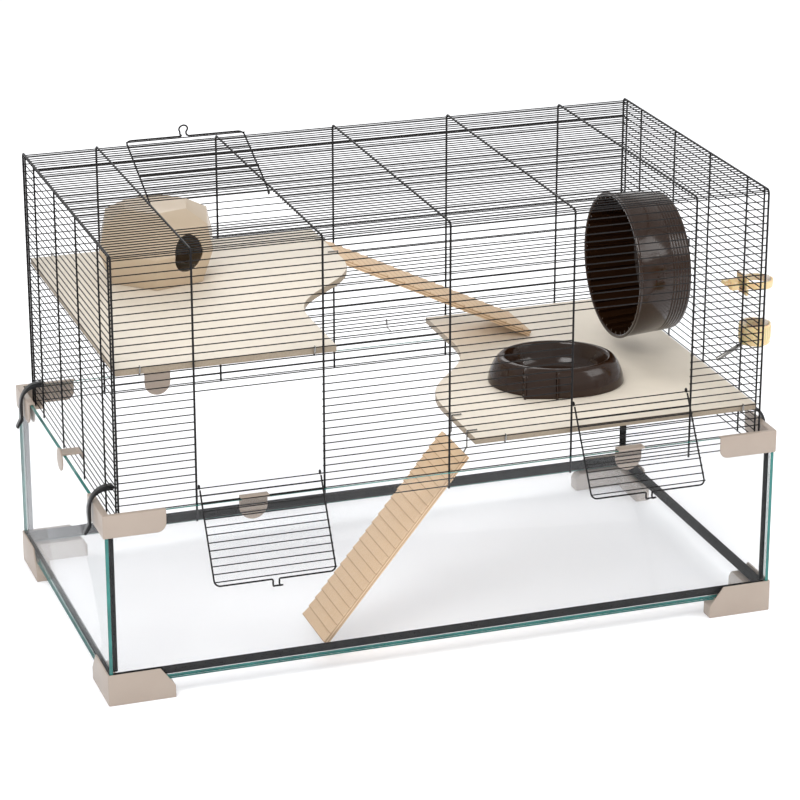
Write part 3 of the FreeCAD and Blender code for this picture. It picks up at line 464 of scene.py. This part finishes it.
class WireBender:
    """Draws one round wire in runs and bends, as it is made on a bench."""

    def __init__(self, mesh_data: BMesh, start: Vector, heading: Vector, radius: float,
                 sides: int = 10) -> None:
        """Start the wire.

        Args:
            mesh_data: where it goes.
            start: middle of its first end.
            heading: which way it sets off.
            radius: the wire's radius, in metres.
            sides: how many faces round it.
        """
        self.mesh_data = mesh_data
        self.place = start.copy()
        self.heading = heading.normalized()
        made = bmesh.ops.create_circle(mesh_data, cap_ends=False, radius=radius, segments=sides,
                                       matrix=facing(start, self.heading))
        self.ring = list({edge for vert in made["verts"] for edge in vert.link_edges})
        self.cap()

    def cap(self) -> None:
        """Close the wire's present end."""
        bmesh.ops.contextual_create(self.mesh_data, geom=self.ring)

    def run(self, length: float) -> "WireBender":
        """Go straight on for a length, in metres."""
        made = bmesh.ops.extrude_edge_only(self.mesh_data, edges=self.ring)["geom"]
        verts = [g for g in made if isinstance(g, bmesh.types.BMVert)]
        bmesh.ops.translate(self.mesh_data, verts=verts, vec=self.heading * length)
        chosen = set(verts)
        self.ring = [g for g in made if isinstance(g, bmesh.types.BMEdge) and set(g.verts) <= chosen]
        self.place = self.place + self.heading * length
        return self

    def bend(self, axis: Vector, degrees: float, radius: float) -> "WireBender":
        """Turn by an angle about an axis, on an arc.

        Args:
            axis: direction of the axis; the turn is right-handed about it.
            degrees: how far to turn.
            radius: radius of the arc, in metres.

        Returns:
            The same bender.
        """
        if degrees < 0:
            return self.bend(-axis, -degrees, radius)
        centre = self.place + axis.cross(self.heading) * radius
        steps = max(2, round(degrees / 15))
        made = bmesh.ops.spin(self.mesh_data, geom=self.ring, cent=centre, axis=axis, dvec=(0, 0, 0),
                              angle=math.radians(degrees), steps=steps, use_merge=False, use_duplicate=False)
        self.ring = [g for g in made["geom_last"] if isinstance(g, bmesh.types.BMEdge)]
        turn = Matrix.Rotation(math.radians(degrees), 3, axis)
        self.place = centre + turn @ (self.place - centre)
        self.heading = turn @ self.heading
        return self


def lathe(profile: list[tuple[float, float]], centre: Vector, axis: Vector, steps: int = 96) -> BMesh:
    """Turn a closed profile about an axis.

    Args:
        profile: (radius, distance along the axis) in millimetres, in order round the section.
        centre: where the axis starts, in metres.
        axis: its direction.
        steps: how many faces round it.

    Returns:
        A new bmesh with doubles merged.
    """
    mesh_data = bmesh.new()
    across = axis.orthogonal().normalized()
    verts = [mesh_data.verts.new(centre + across * r * MM + axis * h * MM) for r, h in profile]
    edges = [mesh_data.edges.new((a, b)) for a, b in zip(verts, verts[1:])]
    bmesh.ops.spin(mesh_data, geom=verts + edges, cent=centre, axis=axis, dvec=(0, 0, 0), angle=math.tau,
                   steps=steps, use_merge=True, use_duplicate=False)
    bmesh.ops.remove_doubles(mesh_data, verts=mesh_data.verts[:], dist=0.01 * MM)
    return mesh_data


def softened_copy(node: str, radius: float, above_deg: float = 30.0, below_deg: float = 181.0,
                  segments: int = 3) -> BMesh:
    """Copy a CAD node's mesh, and round its sharp edges.

    Args:
        node: the CAD node.
        radius: how much is rounded, in millimetres.
        above_deg: only edges that turn more than this.
        below_deg: only edges that turn less than this.
        segments: faces across each rounded edge.

    Returns:
        A new bmesh.
    """
    mesh_data = bmesh.new()
    mesh_data.from_mesh(frame["nodes"][node].data)
    bmesh.ops.remove_doubles(mesh_data, verts=mesh_data.verts[:], dist=0.005 * MM)
    bmesh.ops.dissolve_limit(mesh_data, angle_limit=math.radians(1.0), verts=mesh_data.verts[:],
                             edges=mesh_data.edges[:])
    round_edges(mesh_data, radius, above_deg, below_deg, segments)
    return mesh_data


def finish_softened(node: str, kind: str, finish: Finish, body: str, radius: float = 0.8,
                    above_deg: float = 50.0, segments: int = 2) -> None:
    """Finish a softened copy of a CAD node as the piece that stands for it.

    Args:
        node: the CAD node.
        kind: how it is made, the end of the piece's name.
        finish: its finish.
        body: the body that it rides on.
        radius: how much is rounded, in millimetres.
        above_deg: only edges that turn more than this are rounded.
        segments: faces across each rounded edge.
    """
    mesh_data = softened_copy(node, radius, above_deg, segments=segments)
    finish_piece(f"{node}_{kind}", mesh_data, [finish], body, [node])


def round_edges(mesh_data: BMesh, radius: float, above_deg: float, below_deg: float,
                segments: int) -> None:
    """Bevel the edges whose faces meet at an angle between two limits; the radius is in millimetres."""
    sharp = [e for e in mesh_data.edges if len(e.link_faces) == 2
             and above_deg < math.degrees(e.calc_face_angle(0.0)) < below_deg]
    bevel(mesh_data, sharp, radius, segments)


def bevel(mesh_data: BMesh, edges: list[bmesh.types.BMEdge], radius: float, segments: int) -> None:
    """Bevel edges by a radius in millimetres."""
    bmesh.ops.bevel(mesh_data, geom=edges, offset=radius * MM, offset_type="OFFSET", segments=segments,
                    profile=0.5, affect="EDGES", clamp_overlap=True, material=-1)


# ---------------------------------------------------------------- sub-assemblies
@dataclass
class GlassTank:
    """Five panes of float glass, the black seams between them, feet, caps and rim clips."""
    chamfer: float = 0.5
    edge_round: float = 1.2
    bead_round: float = 1.5
    clip_round: float = 0.6
    panes: tuple[str, ...] = ("glass_front", "glass_back", "glass_left", "glass_right", "glass_floor")

    def build(self) -> None:
        """Make and dress everything below the wires."""
        for pane in self.panes:
            self.build_pane(pane)
        for node in ("silicone_corner_seams", "silicone_floor_seams"):
            finish_softened(node, "bead", SILICONE, "tank", self.bead_round, 30.0)
        for corner in Corner:
            for kind in ("foot_", "cap_"):
                finish_softened(kind + corner.value, "moulded", BEIGE_ABS, "tank",
                                self.edge_round, 30.0, 3)
        for node in ("rim_clips_long_sides", "rim_clips_ends"):
            finish_softened(node, "moulded", BEIGE_ABS, "wire_top", self.clip_round,
                            segments=3)

    def build_pane(self, node: str) -> None:
        """Make one pane with chamfered edges; its narrow faces show the green of the glass."""
        low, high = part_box(node)
        size = high - low
        thin = min(range(3), key=lambda i: size[i])
        mesh_data = bmesh.new()
        bmesh.ops.create_cube(mesh_data, size=1.0, matrix=Matrix.Translation((low + high) / 2)
                              @ Matrix.Diagonal((*size, 1.0)))
        bevel(mesh_data, mesh_data.edges[:], self.chamfer, 2)
        mesh_data.normal_update()
        for face in mesh_data.faces:
            face.material_index = 0 if abs(face.normal[thin]) > 0.9 else 1
        finish_piece(node + "_pane", mesh_data, [FLOAT_GLASS, GLASS_EDGE], "tank", [node])


@dataclass
class WireTop:
    """Hoops, thin bars and end panels of the welded top."""
    half_x: float = 470.0
    half_y: float = 260.0
    top_z: float = 638.0
    foot_z: float = 253.0
    wide_bay: float = 180.75
    hoop_r: float = 1.5
    bar_r: float = 0.8
    post_r: float = 1.3
    hoop_bend: float = 6.0
    weld: float = 0.2
    pitch: float = 10.75
    first_bar_z: float = 632.0
    wall_bars: int = 36
    top_bars: int = 48
    door_pitches: int = 13
    left_hinge_bar: int = 31
    right_hinge_bar: int = 26
    top_hinge_bar: int = -3
    overhang: float = 2.0
    side_bar_half: float = 251.0
    side_posts: tuple[float, ...] = (-246.0, -190.0, -63.0, 63.0, 190.0, 246.0)

    @property
    def hoop_places(self) -> list[float]:
        """Where the hoops stand along X."""
        inner = [n * self.wide_bay for n in range(-2, 3)]
        return [-self.half_x, *inner, self.half_x]

    @property
    def bar_offset(self) -> float:
        """From a hoop's middle to the middle of a bar welded to its inside."""
        return self.hoop_r + self.bar_r - self.weld

    def bar_z(self, number: int) -> float:
        """Height of a wall bar, counted from the top."""
        return self.first_bar_z - self.pitch * number

    def stretches(self, bays: list[tuple[float, float]]) -> list[tuple[float, float]]:
        """Stretches of a long bar, leaving out the door bays.

        Args:
            bays: (low x, high x) of each bay that is left open.

        Returns:
            (start x, end x) of each stretch.
        """
        end = self.half_x + self.overhang
        out, start = [], -end
        for low, high in sorted(bays):
            out.append((start, low + self.hoop_r))
            start = high - self.hoop_r
        return [*out, (start, end)]

    def build(self) -> None:
        """Make and dress the wires."""
        self.build_hoops()
        self.build_long_bars()
        self.build_ends()

    def build_hoops(self) -> None:
        """Each hoop is one wire, bent twice."""
        mesh_data = bmesh.new()
        leg = (self.top_z - self.foot_z - self.hoop_bend) * MM
        flat = 2 * (self.half_y - self.hoop_bend) * MM
        bend = self.hoop_bend * MM
        for x in self.hoop_places:
            wire = WireBender(mesh_data, at(x, -self.half_y, self.foot_z), Z, self.hoop_r * MM, 14)
            wire.run(leg).bend(-X, 90, bend).run(flat).bend(-X, 90, bend).run(leg).cap()
        finish_piece("hoops", mesh_data, [BLACK_WIRE], "wire_top",
                     ["hoop_front_legs", "hoop_back_legs", "hoop_tops"])

    def build_long_bars(self) -> None:
        """Bars of the front, back and top."""
        left = (-2 * self.wide_bay, -self.wide_bay)
        right = (self.wide_bay, 2 * self.wide_bay)
        y = self.half_y - self.bar_offset
        front, back, top = bmesh.new(), bmesh.new(), bmesh.new()
        for k in range(self.wall_bars):
            bays = []
            if self.left_hinge_bar - self.door_pitches < k < self.left_hinge_bar:
                bays.append(left)
            if self.right_hinge_bar - self.door_pitches < k < self.right_hinge_bar:
                bays.append(right)
            self.add_bar(front, -y, self.bar_z(k), bays)
            self.add_bar(back, y, self.bar_z(k), [])
        z = self.top_z - self.bar_offset
        for j in range(-self.top_bars // 2, self.top_bars // 2):
            open_here = self.top_hinge_bar - self.door_pitches < j < self.top_hinge_bar
            self.add_bar(top, (j + 0.5) * self.pitch, z, [left] if open_here else [])
        tuck = (self.hoop_bend - self.bar_offset) * math.sqrt(0.5)
        for side in (-1, 1):
            self.add_bar(top, side * (self.half_y - self.hoop_bend + tuck),
                         self.top_z - self.hoop_bend + tuck, [])
        for name, mesh_data in (("front_bars", front), ("back_bars", back), ("top_bars", top)):
            finish_wires(name, mesh_data)

    def add_bar(self, mesh_data: BMesh, y: float, z: float, bays: list[tuple[float, float]]) -> None:
        """Add one long bar at (y, z), cut away at the given bays."""
        for start, end in self.stretches(bays):
            add_rod(mesh_data, at(start, y, z), at(end, y, z), self.bar_r * MM)

    def build_ends(self) -> None:
        """Posts and bars of the two end panels."""
        bar_x = self.half_x - self.post_r - self.bar_r + self.weld
        for name, side in (("left", -1), ("right", 1)):
            posts, bars = bmesh.new(), bmesh.new()
            for y in self.side_posts:
                add_rod(posts, at(side * self.half_x, y, self.foot_z),
                        at(side * self.half_x, y, self.top_z - self.hoop_r), self.post_r * MM, 12)
            for k in range(self.wall_bars):
                add_rod(bars, at(side * bar_x, -self.side_bar_half, self.bar_z(k)),
                        at(side * bar_x, self.side_bar_half, self.bar_z(k)), self.bar_r * MM)
            for kind, mesh_data in (("posts", posts), ("bars", bars)):
                finish_wires(f"side_{name}_{kind}", mesh_data)


@dataclass
class Door:
    """One wire door: a bent frame with eyes, a latch loop in the middle of its free edge, and thin bars."""
    name: str
    hinge: Vector
    up: Vector
    out: Vector
    half_w: float = 85.5
    wire_r: float = 1.2
    reach: float = 134.5
    bend: float = 8.0
    eye_clearance: float = 0.3
    bar_r: float = 0.8
    pitch: float = 10.75
    bars: int = 12
    weld: float = 0.2
    latch_neck: float = 4.5
    latch_rise: float = 8.5
    latch_jog: float = 2.6
    latch_depth: float = 18.0
    latch_bulb: float = 6.5

    def place(self, x: float, up: float, out: float) -> Vector:
        """A point of the door in the row frame, from millimetres across, up and out."""
        return self.hinge + (X * x + self.up * up + self.out * out) * MM

    def build(self) -> None:
        """Make and dress the frame wire and the bars."""
        mesh_data = bmesh.new()
        for side in (-1, 1):
            self.bend_half(mesh_data, side)
        finish_wires(f"door_{self.name}_frame", mesh_data, f"door_{self.name}", "wire")
        mesh_data = bmesh.new()
        inset = self.wire_r + self.bar_r - self.weld
        reach = self.half_w + self.wire_r
        for n in range(1, self.bars + 1):
            ends = [self.place(x, self.pitch * n, -inset) for x in (-reach, reach)]
            add_rod(mesh_data, *ends, self.bar_r * MM)
        finish_wires(f"door_{self.name}_bars", mesh_data, f"door_{self.name}")

    def bend_half(self, mesh_data: BMesh, side: int) -> None:
        """Bend one half of the frame wire, from its eye to the middle of the latch loop.

        Args:
            mesh_data: where it goes.
            side: -1 for the half at low x, 1 for the other.
        """
        eye = self.bar_r + self.eye_clearance + self.wire_r
        # the eye is a ring round the hinge bar, and the leg runs into it
        ring = WireBender(mesh_data, self.place(side * self.half_w, 0, eye), self.out, self.wire_r * MM)
        spin_axis = self.up.cross(-self.out).normalized()
        ring.bend(-spin_axis if (self.place(0, 0, 0) - ring.place).dot((-spin_axis).cross(self.out)) > 0
                  else spin_axis, 352, eye * MM).cap()
        wire = WireBender(mesh_data, self.place(side * self.half_w, eye, 0), self.up, self.wire_r * MM)
        wire.run((self.reach - eye - self.bend) * MM)
        turn = self.up.cross(X * -side).normalized()
        wire.bend(turn, 90, self.bend * MM)
        small = 2.0
        wire.run((self.half_w - self.bend - self.latch_neck - small) * MM)
        wire.bend(-turn, 90, small * MM)
        # jog outwards, rise past the edge bar, then turn in above it
        jog_axis = self.up.cross(self.out).normalized()
        angle = math.degrees(math.acos(1 - self.latch_jog / (2 * small)))
        wire.bend(jog_axis, angle, small * MM).bend(-jog_axis, angle, small * MM)
        climbed = small + 2 * small * math.sin(math.radians(angle))
        wire.run(max(0.2, self.latch_rise - climbed - small + 1.0) * MM)
        wire.bend(-jog_axis, 86, small * MM)
        # the keyhole end, half of it
        inward = wire.heading.copy()
        swing = inward.cross(X * side).normalized()
        flare = 24.0
        wire.bend(swing, flare, 4 * MM).run(2.5 * MM).bend(-swing, flare, 4 * MM)
        wire.bend(-swing, 90, self.latch_bulb * MM)
        wire.run(max(0.05, abs((wire.place - self.hinge).dot(X) / MM)) * MM).cap()


@dataclass
class Board:
    """A shelf: the CAD board with eased edges."""
    node: str
    ease: float = 0.8

    def build(self) -> None:
        """Ease the edges of the board and face it."""
        finish_softened(self.node, "board", BOARD, "wire_top", self.ease, 60.0)


@dataclass
class ShelfHooks:
    """Bent wires from the bars of a long wall to a shelf's underside."""
    places: tuple[tuple[float, float], ...] = (
        (-434.0, 480.0), (-192.0, 480.0), (84.0, 320.0), (445.0, 320.0))
    wire_r: float = 0.8
    shelf: float = 9.5
    shelf_half_y: float = 254.0
    bend: float = 0.9
    lip: float = 8.0
    toe: float = 15.0

    def build(self, cage: WireTop) -> None:
        """Bend the eight hooks.

        Args:
            cage: the wire top that they hang from.
        """
        mesh_data = bmesh.new()
        wall = cage.half_y - cage.bar_offset
        between = (wall - cage.bar_r + self.shelf_half_y) / 2
        outer = wall + cage.bar_r + self.wire_r + 0.2
        for x, top in self.places:
            bar = math.floor((cage.first_bar_z - top) / cage.pitch)
            over = cage.bar_z(bar) + cage.bar_r + self.wire_r + 0.05
            under = top - self.shelf - self.wire_r
            for side in (-1, 1):
                axis, bend = X * side, self.bend * MM
                wire = WireBender(mesh_data, at(x, side * outer, over - self.lip), Z, self.wire_r * MM)
                wire.run((self.lip - self.bend) * MM).bend(axis, 90, bend)
                wire.run((outer - between - 2 * self.bend) * MM).bend(axis, 90, bend)
                wire.run((over - under - 2 * self.bend) * MM).bend(-axis, 90, bend).run(self.toe * MM).cap()
        finish_piece("shelf_hooks_wires", mesh_data, [STEEL], "wire_top", ["shelf_hooks"])


@dataclass
class Ladder:
    """A stepped plywood board with two wire hooks."""
    name: str
    foot: Vector
    slope_deg: float
    rises_to_low_x: bool
    body: str

    def build(self) -> None:
        """Ease the board's edges, and dress it along its own slope."""
        node = "ladder_" + self.name
        ply = BirchPly(f"birch plywood, {self.name} ladder", tuple(self.foot), math.radians(self.slope_deg),
                       self.rises_to_low_x)
        finish_softened(node, "board", ply, self.body, 0.5, 60.0)
        paint_node(node + "_hooks", STEEL)


@dataclass
class House:
    """Faceted hide: wide soft creases between its facets."""
    crease: float = 3.0
    rim: float = 0.8

    def build(self) -> None:
        """Round the rim and the way in first, then the creases."""
        mesh_data = softened_copy("house", self.rim, above_deg=70.0, segments=2)
        round_edges(mesh_data, self.crease, 14.0, 62.0, 3)
        finish_piece("house_moulded", mesh_data, [CREAM_ABS], "hide", ["house"], 50.0)


@dataclass
class Wheel:
    """Closed drum with grooves near its back, a rolled rim, and tread ribs inside."""
    near_x: float = 356.0
    length: float = 84.0
    radius: float = 108.0
    rear_radius: float = 102.0
    wall: float = 2.5
    ribs: int = 36
    grooves: int = 6
    groove_pitch: float = 4.6
    groove: float = 0.5
    hub_r: float = 12.0
    hub_length: float = 16.4
    bore_r: float = 4.08

    def build(self) -> None:
        """Turn the drum, and set the ribs inside it."""
        place = joint_place("wheel_spin")
        centre = Vector((at(self.near_x, 0, 0).x, place.y, place.z))
        mesh_data = lathe(self.section(), centre, X, 144)
        for n in range(self.ribs):
            self.add_rib(mesh_data, centre, math.tau * n / self.ribs)
        finish_piece("wheel_drum_turned", mesh_data, [BROWN_PP], "wheel", ["wheel_drum"],
                     40.0)

    def outer(self, along: float) -> float:
        """Outside radius at a distance along the drum."""
        return self.radius + (self.rear_radius - self.radius) * along / self.length

    def section(self) -> list[tuple[float, float]]:
        """Closed section of the drum wall, back and hub, as (radius, distance along)."""
        front, rear, hub, end, wall = self.radius, self.rear_radius, self.hub_r, self.length, self.wall
        lip = [(front - 4.3, 5.0), (front - 4.5, 1.2), (front - 3.4, 0.2), (front - 1.4, -0.2),
               (front + 0.3, 0.4), (front + 0.9, 1.6), (front + 0.5, 3.0), (self.outer(4.5), 4.2),
               (self.outer(6.0), 6.0)]
        grooved = []
        start = end - self.groove_pitch * self.grooves - 3.0
        for n in range(self.grooves):
            a = start + self.groove_pitch * n
            r = self.outer(a)
            grooved += [(r, a), (r - self.groove, a + 0.7), (r - self.groove, a + 1.5), (r, a + 2.2)]
        back = [(rear, end - 2.0), (rear - 2.0, end), (self.bore_r, end)]
        hub_end = end - self.hub_length
        inside = [(self.bore_r, hub_end), (hub - 1.0, hub_end), (hub, hub_end + 1.0), (hub + 1.0, end - wall),
                  (rear - wall - 3.0, end - wall), (rear - wall, end - wall - 3.0),
                  (self.outer(6.0) - wall, 6.0)]
        section = lip + grooved + back + inside
        return section + section[:1]

    def add_rib(self, mesh_data: BMesh, centre: Vector, angle: float) -> None:
        """Add one tread rib inside the wall.

        Args:
            mesh_data: where it goes.
            centre: middle of the open end.
            angle: its place round the drum.
        """
        start, end, rise = 2.0, self.length - self.wall, 6.0
        made = bmesh.ops.create_cube(mesh_data, size=1.0)["verts"]
        for vert in made:
            along = start if vert.co.x < 0 else end
            wall = self.outer(along) - self.wall
            depth = wall - (rise if vert.co.z > 0 else -0.6)
            width = 0.7 if vert.co.z > 0 else 1.1
            vert.co = Vector((along, math.copysign(width, vert.co.y), -depth)) * MM
        turn = Matrix.Translation(centre) @ Matrix.Rotation(angle, 4, "X")
        bmesh.ops.transform(mesh_data, matrix=turn, verts=made)


@dataclass
class Bowl:
    """Oval bowl, with a bellied wall and a flat panel between two ribs at the front."""
    half_x: float = 99.0
    half_y: float = 77.0
    turn_deg: float = -19.0
    panel_x: float = -24.0
    panel_half: float = 21.0
    panel_foot: float = 101.0
    panel_lean: float = 17.0
    panel_ledge: float = 2.5
    rib_width: float = 4.5
    rib_rise: float = 3.0

    def build(self) -> None:
        """Turn the wall as a circle, set the panel and its ribs on it, then squeeze it to an oval."""
        low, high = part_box("bowl")
        centre = Vector(((low.x + high.x) / 2, (low.y + high.y) / 2, low.z))
        height = (high.z - low.z) / MM
        section = [(0.001, 0.02), (0.955, 0.02), (0.975, 0.0), (0.995, 0.015), (1.0, 0.06), (0.985, 0.30),
                   (0.955, 0.52), (0.915, 0.73), (0.875, 0.88), (0.84, 0.965), (0.81, 0.998), (0.785, 1.0),
                   (0.765, 0.975), (0.745, 0.90), (0.705, 0.55), (0.655, 0.27), (0.58, 0.16), (0.45, 0.125),
                   (0.001, 0.12)]
        mesh_data = lathe([(r * self.half_x, h * height) for r, h in section], Vector(), Z, 360)
        upright = [e for e in mesh_data.edges if self.on_wall(e, height)]
        bmesh.ops.subdivide_edges(mesh_data, edges=upright, cuts=3)
        for vert in mesh_data.verts:
            self.shape_panel(vert, height)
        bmesh.ops.scale(mesh_data, vec=(1.0, self.half_y / self.half_x, 1.0), verts=mesh_data.verts[:])
        turn = Matrix.Translation(centre) @ Matrix.Rotation(math.radians(self.turn_deg), 4, "Z")
        bmesh.ops.transform(mesh_data, matrix=turn, verts=mesh_data.verts[:])
        finish_piece("bowl_moulded", mesh_data, [BROWN_PP], "dish", ["bowl"], 38.0)

    def on_wall(self, edge: bmesh.types.BMEdge, height: float) -> bool:
        """Whether an upright edge of the front outer wall gets more points."""
        a, b = (v.co for v in edge.verts)
        tall = abs(a.z - b.z) > 0.1 * height * MM
        return tall and a.y < 0 and min(math.hypot(a.x, a.y), math.hypot(b.x, b.y)) > 0.86 * self.half_x * MM

    def shape_panel(self, vert: bmesh.types.BMVert, height: float) -> None:
        """Move one point of the outer wall onto the flat front panel, its ledge or one of its two ribs."""
        radius = math.hypot(vert.co.x, vert.co.y) / MM
        across = abs(vert.co.x / MM - self.panel_x)
        if vert.co.y > 0 or radius < 0.8 * self.half_x or across > self.panel_half + self.rib_width:
            return
        up = vert.co.z / MM / height
        flat = self.panel_foot - self.panel_lean * up * up
        if across > self.panel_half:
            middle = self.panel_half + self.rib_width / 2
            flat += self.rib_rise * min(1.0, 2.2 * (1 - abs(across - middle) / (self.rib_width / 2)))
        elif up > 0.24:
            flat -= self.panel_ledge
        fade = min(1.0, max(0.0, (0.97 - up) / 0.1))
        vert.co.y += (-flat * MM - vert.co.y) * fade


@dataclass
class Bottle:
    """Drinking bottle with its cap, tube, ball, ring and wing nut."""
    body_r: float = 20.5
    wall: float = 1.5
    dome_r: float = 12.0
    knurls: int = 30

    def build(self) -> None:
        """Make and dress each piece."""
        self.build_body()
        self.build_cap()
        finish_softened("bottle_tube", "drawn", STEEL, "wire_top", 0.2, 60.0)
        for node, body in (("bottle_ring", "wire_top"), ("bottle_wing_nut", "wing_nut")):
            finish_softened(node, "moulded", AMBER_PC, body, 0.7)
        paint_node("bottle_ball", STEEL)

    def build_body(self) -> None:
        """Blown body: straight wall, two shallow rings and a domed end."""
        low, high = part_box("bottle_body")
        centre = Vector(((low.x + high.x) / 2, (low.y + high.y) / 2, low.z))
        tall, r, w, d = (high.z - low.z) / MM, self.body_r, self.wall, self.dome_r
        outer = [(r, 0.0), (r, 40.0), (r - 0.7, 41.5), (r, 43.0), (r, 118.0), (r - 0.7, 119.5), (r, 121.0),
                 (r, tall - d)]
        dome = [(r - d + d * math.cos(a), tall - d + d * math.sin(a)) for a in
                (math.radians(15 * n) for n in range(1, 6))]
        inner_dome = [(radius - w * 0.8, height - w * 0.8) for radius, height in reversed(dome)]
        crown = [(r - d, tall), (0.001, tall), (0.001, tall - w), (r - d, tall - w)]
        section = outer + dome + crown + inner_dome + [(r - w, tall - d), (r - w, 0.0), (r, 0.0)]
        finish_piece("bottle_body_blown", lathe(section, centre, Z, 64), [BOTTLE_PET], "bottle",
                     ["bottle_body"])

    def build_cap(self) -> None:
        """Screw cap: CAD shape with rounded edges and knurls round it."""
        low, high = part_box("bottle_cap")
        mesh_data = softened_copy("bottle_cap", 0.8, above_deg=50.0, segments=2)
        centre = (low + high) / 2
        radius = (high.x - low.x) / 2
        for n in range(self.knurls):
            angle = math.tau * n / self.knurls
            place = centre + Vector((math.cos(angle), math.sin(angle), 0)) * (radius - 0.3 * MM)
            add_rod(mesh_data, place + Z * -7 * MM, place + Z * 12 * MM, 0.9 * MM, 8)
        finish_piece("bottle_cap_knurled", mesh_data, [AMBER_PC], "wire_top", ["bottle_cap"])


@dataclass
class LeverClips:
    """Black nylon clips that hold the wire top down."""
    ease: float = 0.8

    def build(self) -> None:
        """Round the edges of each clip."""
        for corner in Corner:
            finish_softened("lever_clip_" + corner.value, "moulded", BLACK_NYLON, "lever_" + corner.value,
                            self.ease)


@dataclass
class WheelBracket:
    """Wall bracket, axle and axle cap of the wheel."""

    def build(self) -> None:
        """Round the bracket's edges, and dress the axle."""
        finish_softened("wheel_bracket", "moulded", BLACK_NYLON, "wire_top")
        paint_node("wheel_axle", STEEL)
        paint_node("wheel_axle_cap", BROWN_PP)


# ---------------------------------------------------------------- studio
@dataclass
class Studio:
    """White paper, soft lights and the camera."""
    lens_mm: float = 139.7
    sensor_mm: float = 36.0
    camera: tuple[float, float, float] = (-1358.8, -4009.4, 1875.8)
    pitch_deg: float = -20.517
    yaw_deg: float = 18.942
    lights: tuple[tuple[str, tuple[float, float, float], float, float], ...] = (
        ("key softbox", (-1500.0, -1900.0, 2600.0), 1.3, 46.0),
        ("fill softbox", (2100.0, -1700.0, 1900.0), 1.4, 26.0),
        ("back softbox", (300.0, 2200.0, 2400.0), 1.8, 30.0))

    def build(self) -> None:
        """Set the stage."""
        self.build_camera()
        self.build_floor()
        self.build_lights()

    def build_camera(self) -> None:
        """Stand the camera where the cage is looked at from above its left front corner."""
        data = bpy.data.cameras.new("camera")
        data.lens, data.sensor_width = self.lens_mm, self.sensor_mm
        data.clip_end = 100.0
        camera = add_object("camera", data)
        pitch, yaw = math.radians(self.pitch_deg), math.radians(self.yaw_deg)
        view = Vector((math.sin(yaw) * math.cos(pitch), math.cos(yaw) * math.cos(pitch), math.sin(pitch)))
        camera.location = at(*self.camera)
        camera.rotation_euler = view.to_track_quat("-Z", "Y").to_euler()
        bpy.context.scene.camera = camera

    def build_floor(self) -> None:
        """Lay the paper just under the feet."""
        mesh_data = bmesh.new()
        bmesh.ops.create_grid(mesh_data, x_segments=1, y_segments=1, size=20.0)
        mesh = bpy.data.meshes.new("paper")
        mesh_data.to_mesh(mesh)
        mesh_data.free()
        mesh.materials.append(PaperSweep("white background paper").material())
        paper = add_object("paper", mesh)
        paper.location.z = -0.2 * MM

    def build_lights(self) -> None:
        """Large soft lights and a bright even surround."""
        for name, place, size, watts in self.lights:
            data = bpy.data.lights.new(name, "AREA")
            data.shape, data.size, data.energy = "SQUARE", size, watts
            lamp = add_object(name, data)
            lamp.location = at(*place)
            lamp.rotation_euler = (at(0, 0, 300) - lamp.location).to_track_quat("-Z", "Y").to_euler()
        world = bpy.data.worlds.new("studio")
        bpy.context.scene.world = world
        world.use_nodes = True
        world.node_tree.nodes["Background"].inputs["Color"].default_value = (1.0, 1.0, 1.0, 1.0)
        world.node_tree.nodes["Background"].inputs["Strength"].default_value = 0.85
        bpy.context.scene.view_settings.view_transform = "Standard"


def rest_door(name: str, joint: str, open_deg: float, lid: bool) -> Door:
    """A door where it stands at rest.

    Args:
        name: left, right or top.
        joint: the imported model's joint.
        open_deg: how far it stands from hanging straight, or from lying flat on the top.
        lid: whether it is the one in the top.

    Returns:
        The door, ready to build.
    """
    angle = math.radians(open_deg)
    if lid:
        up = Vector((0, math.cos(angle), math.sin(angle)))
        out = Vector((0, math.sin(angle), -math.cos(angle)))
    else:
        up = Vector((0, -math.sin(angle), -math.cos(angle)))
        out = Vector((0, math.cos(angle), -math.sin(angle)))
    return Door(name, joint_place(joint), up, out)


def main() -> None:
    """Build the cage in order, and report each piece."""
    logging.basicConfig(level=logging.INFO, format="%(name)s %(message)s")
    cage = WireTop()
    Studio().build()
    GlassTank().build()
    cage.build()
    for door in (rest_door("left", "door_left_swing", 30.0, False),
                 rest_door("right", "door_right_swing", 32.0, False),
                 rest_door("top", "door_top_swing", 23.0, True)):
        door.build()
    for shelf in ("shelf_upper", "shelf_lower"):
        Board(shelf).build()
    ShelfHooks().build(cage)
    Ladder("lower", at(-173.0, 0, 33.4), 50.6, False, "ladder_low").build()
    Ladder("upper", at(264.0, 0, 320.4), 26.3, True, "ladder_high").build()
    House().build()
    Wheel().build()
    WheelBracket().build()
    Bowl().build()
    Bottle().build()
    LeverClips().build()


if __name__ == "__main__":
    main()
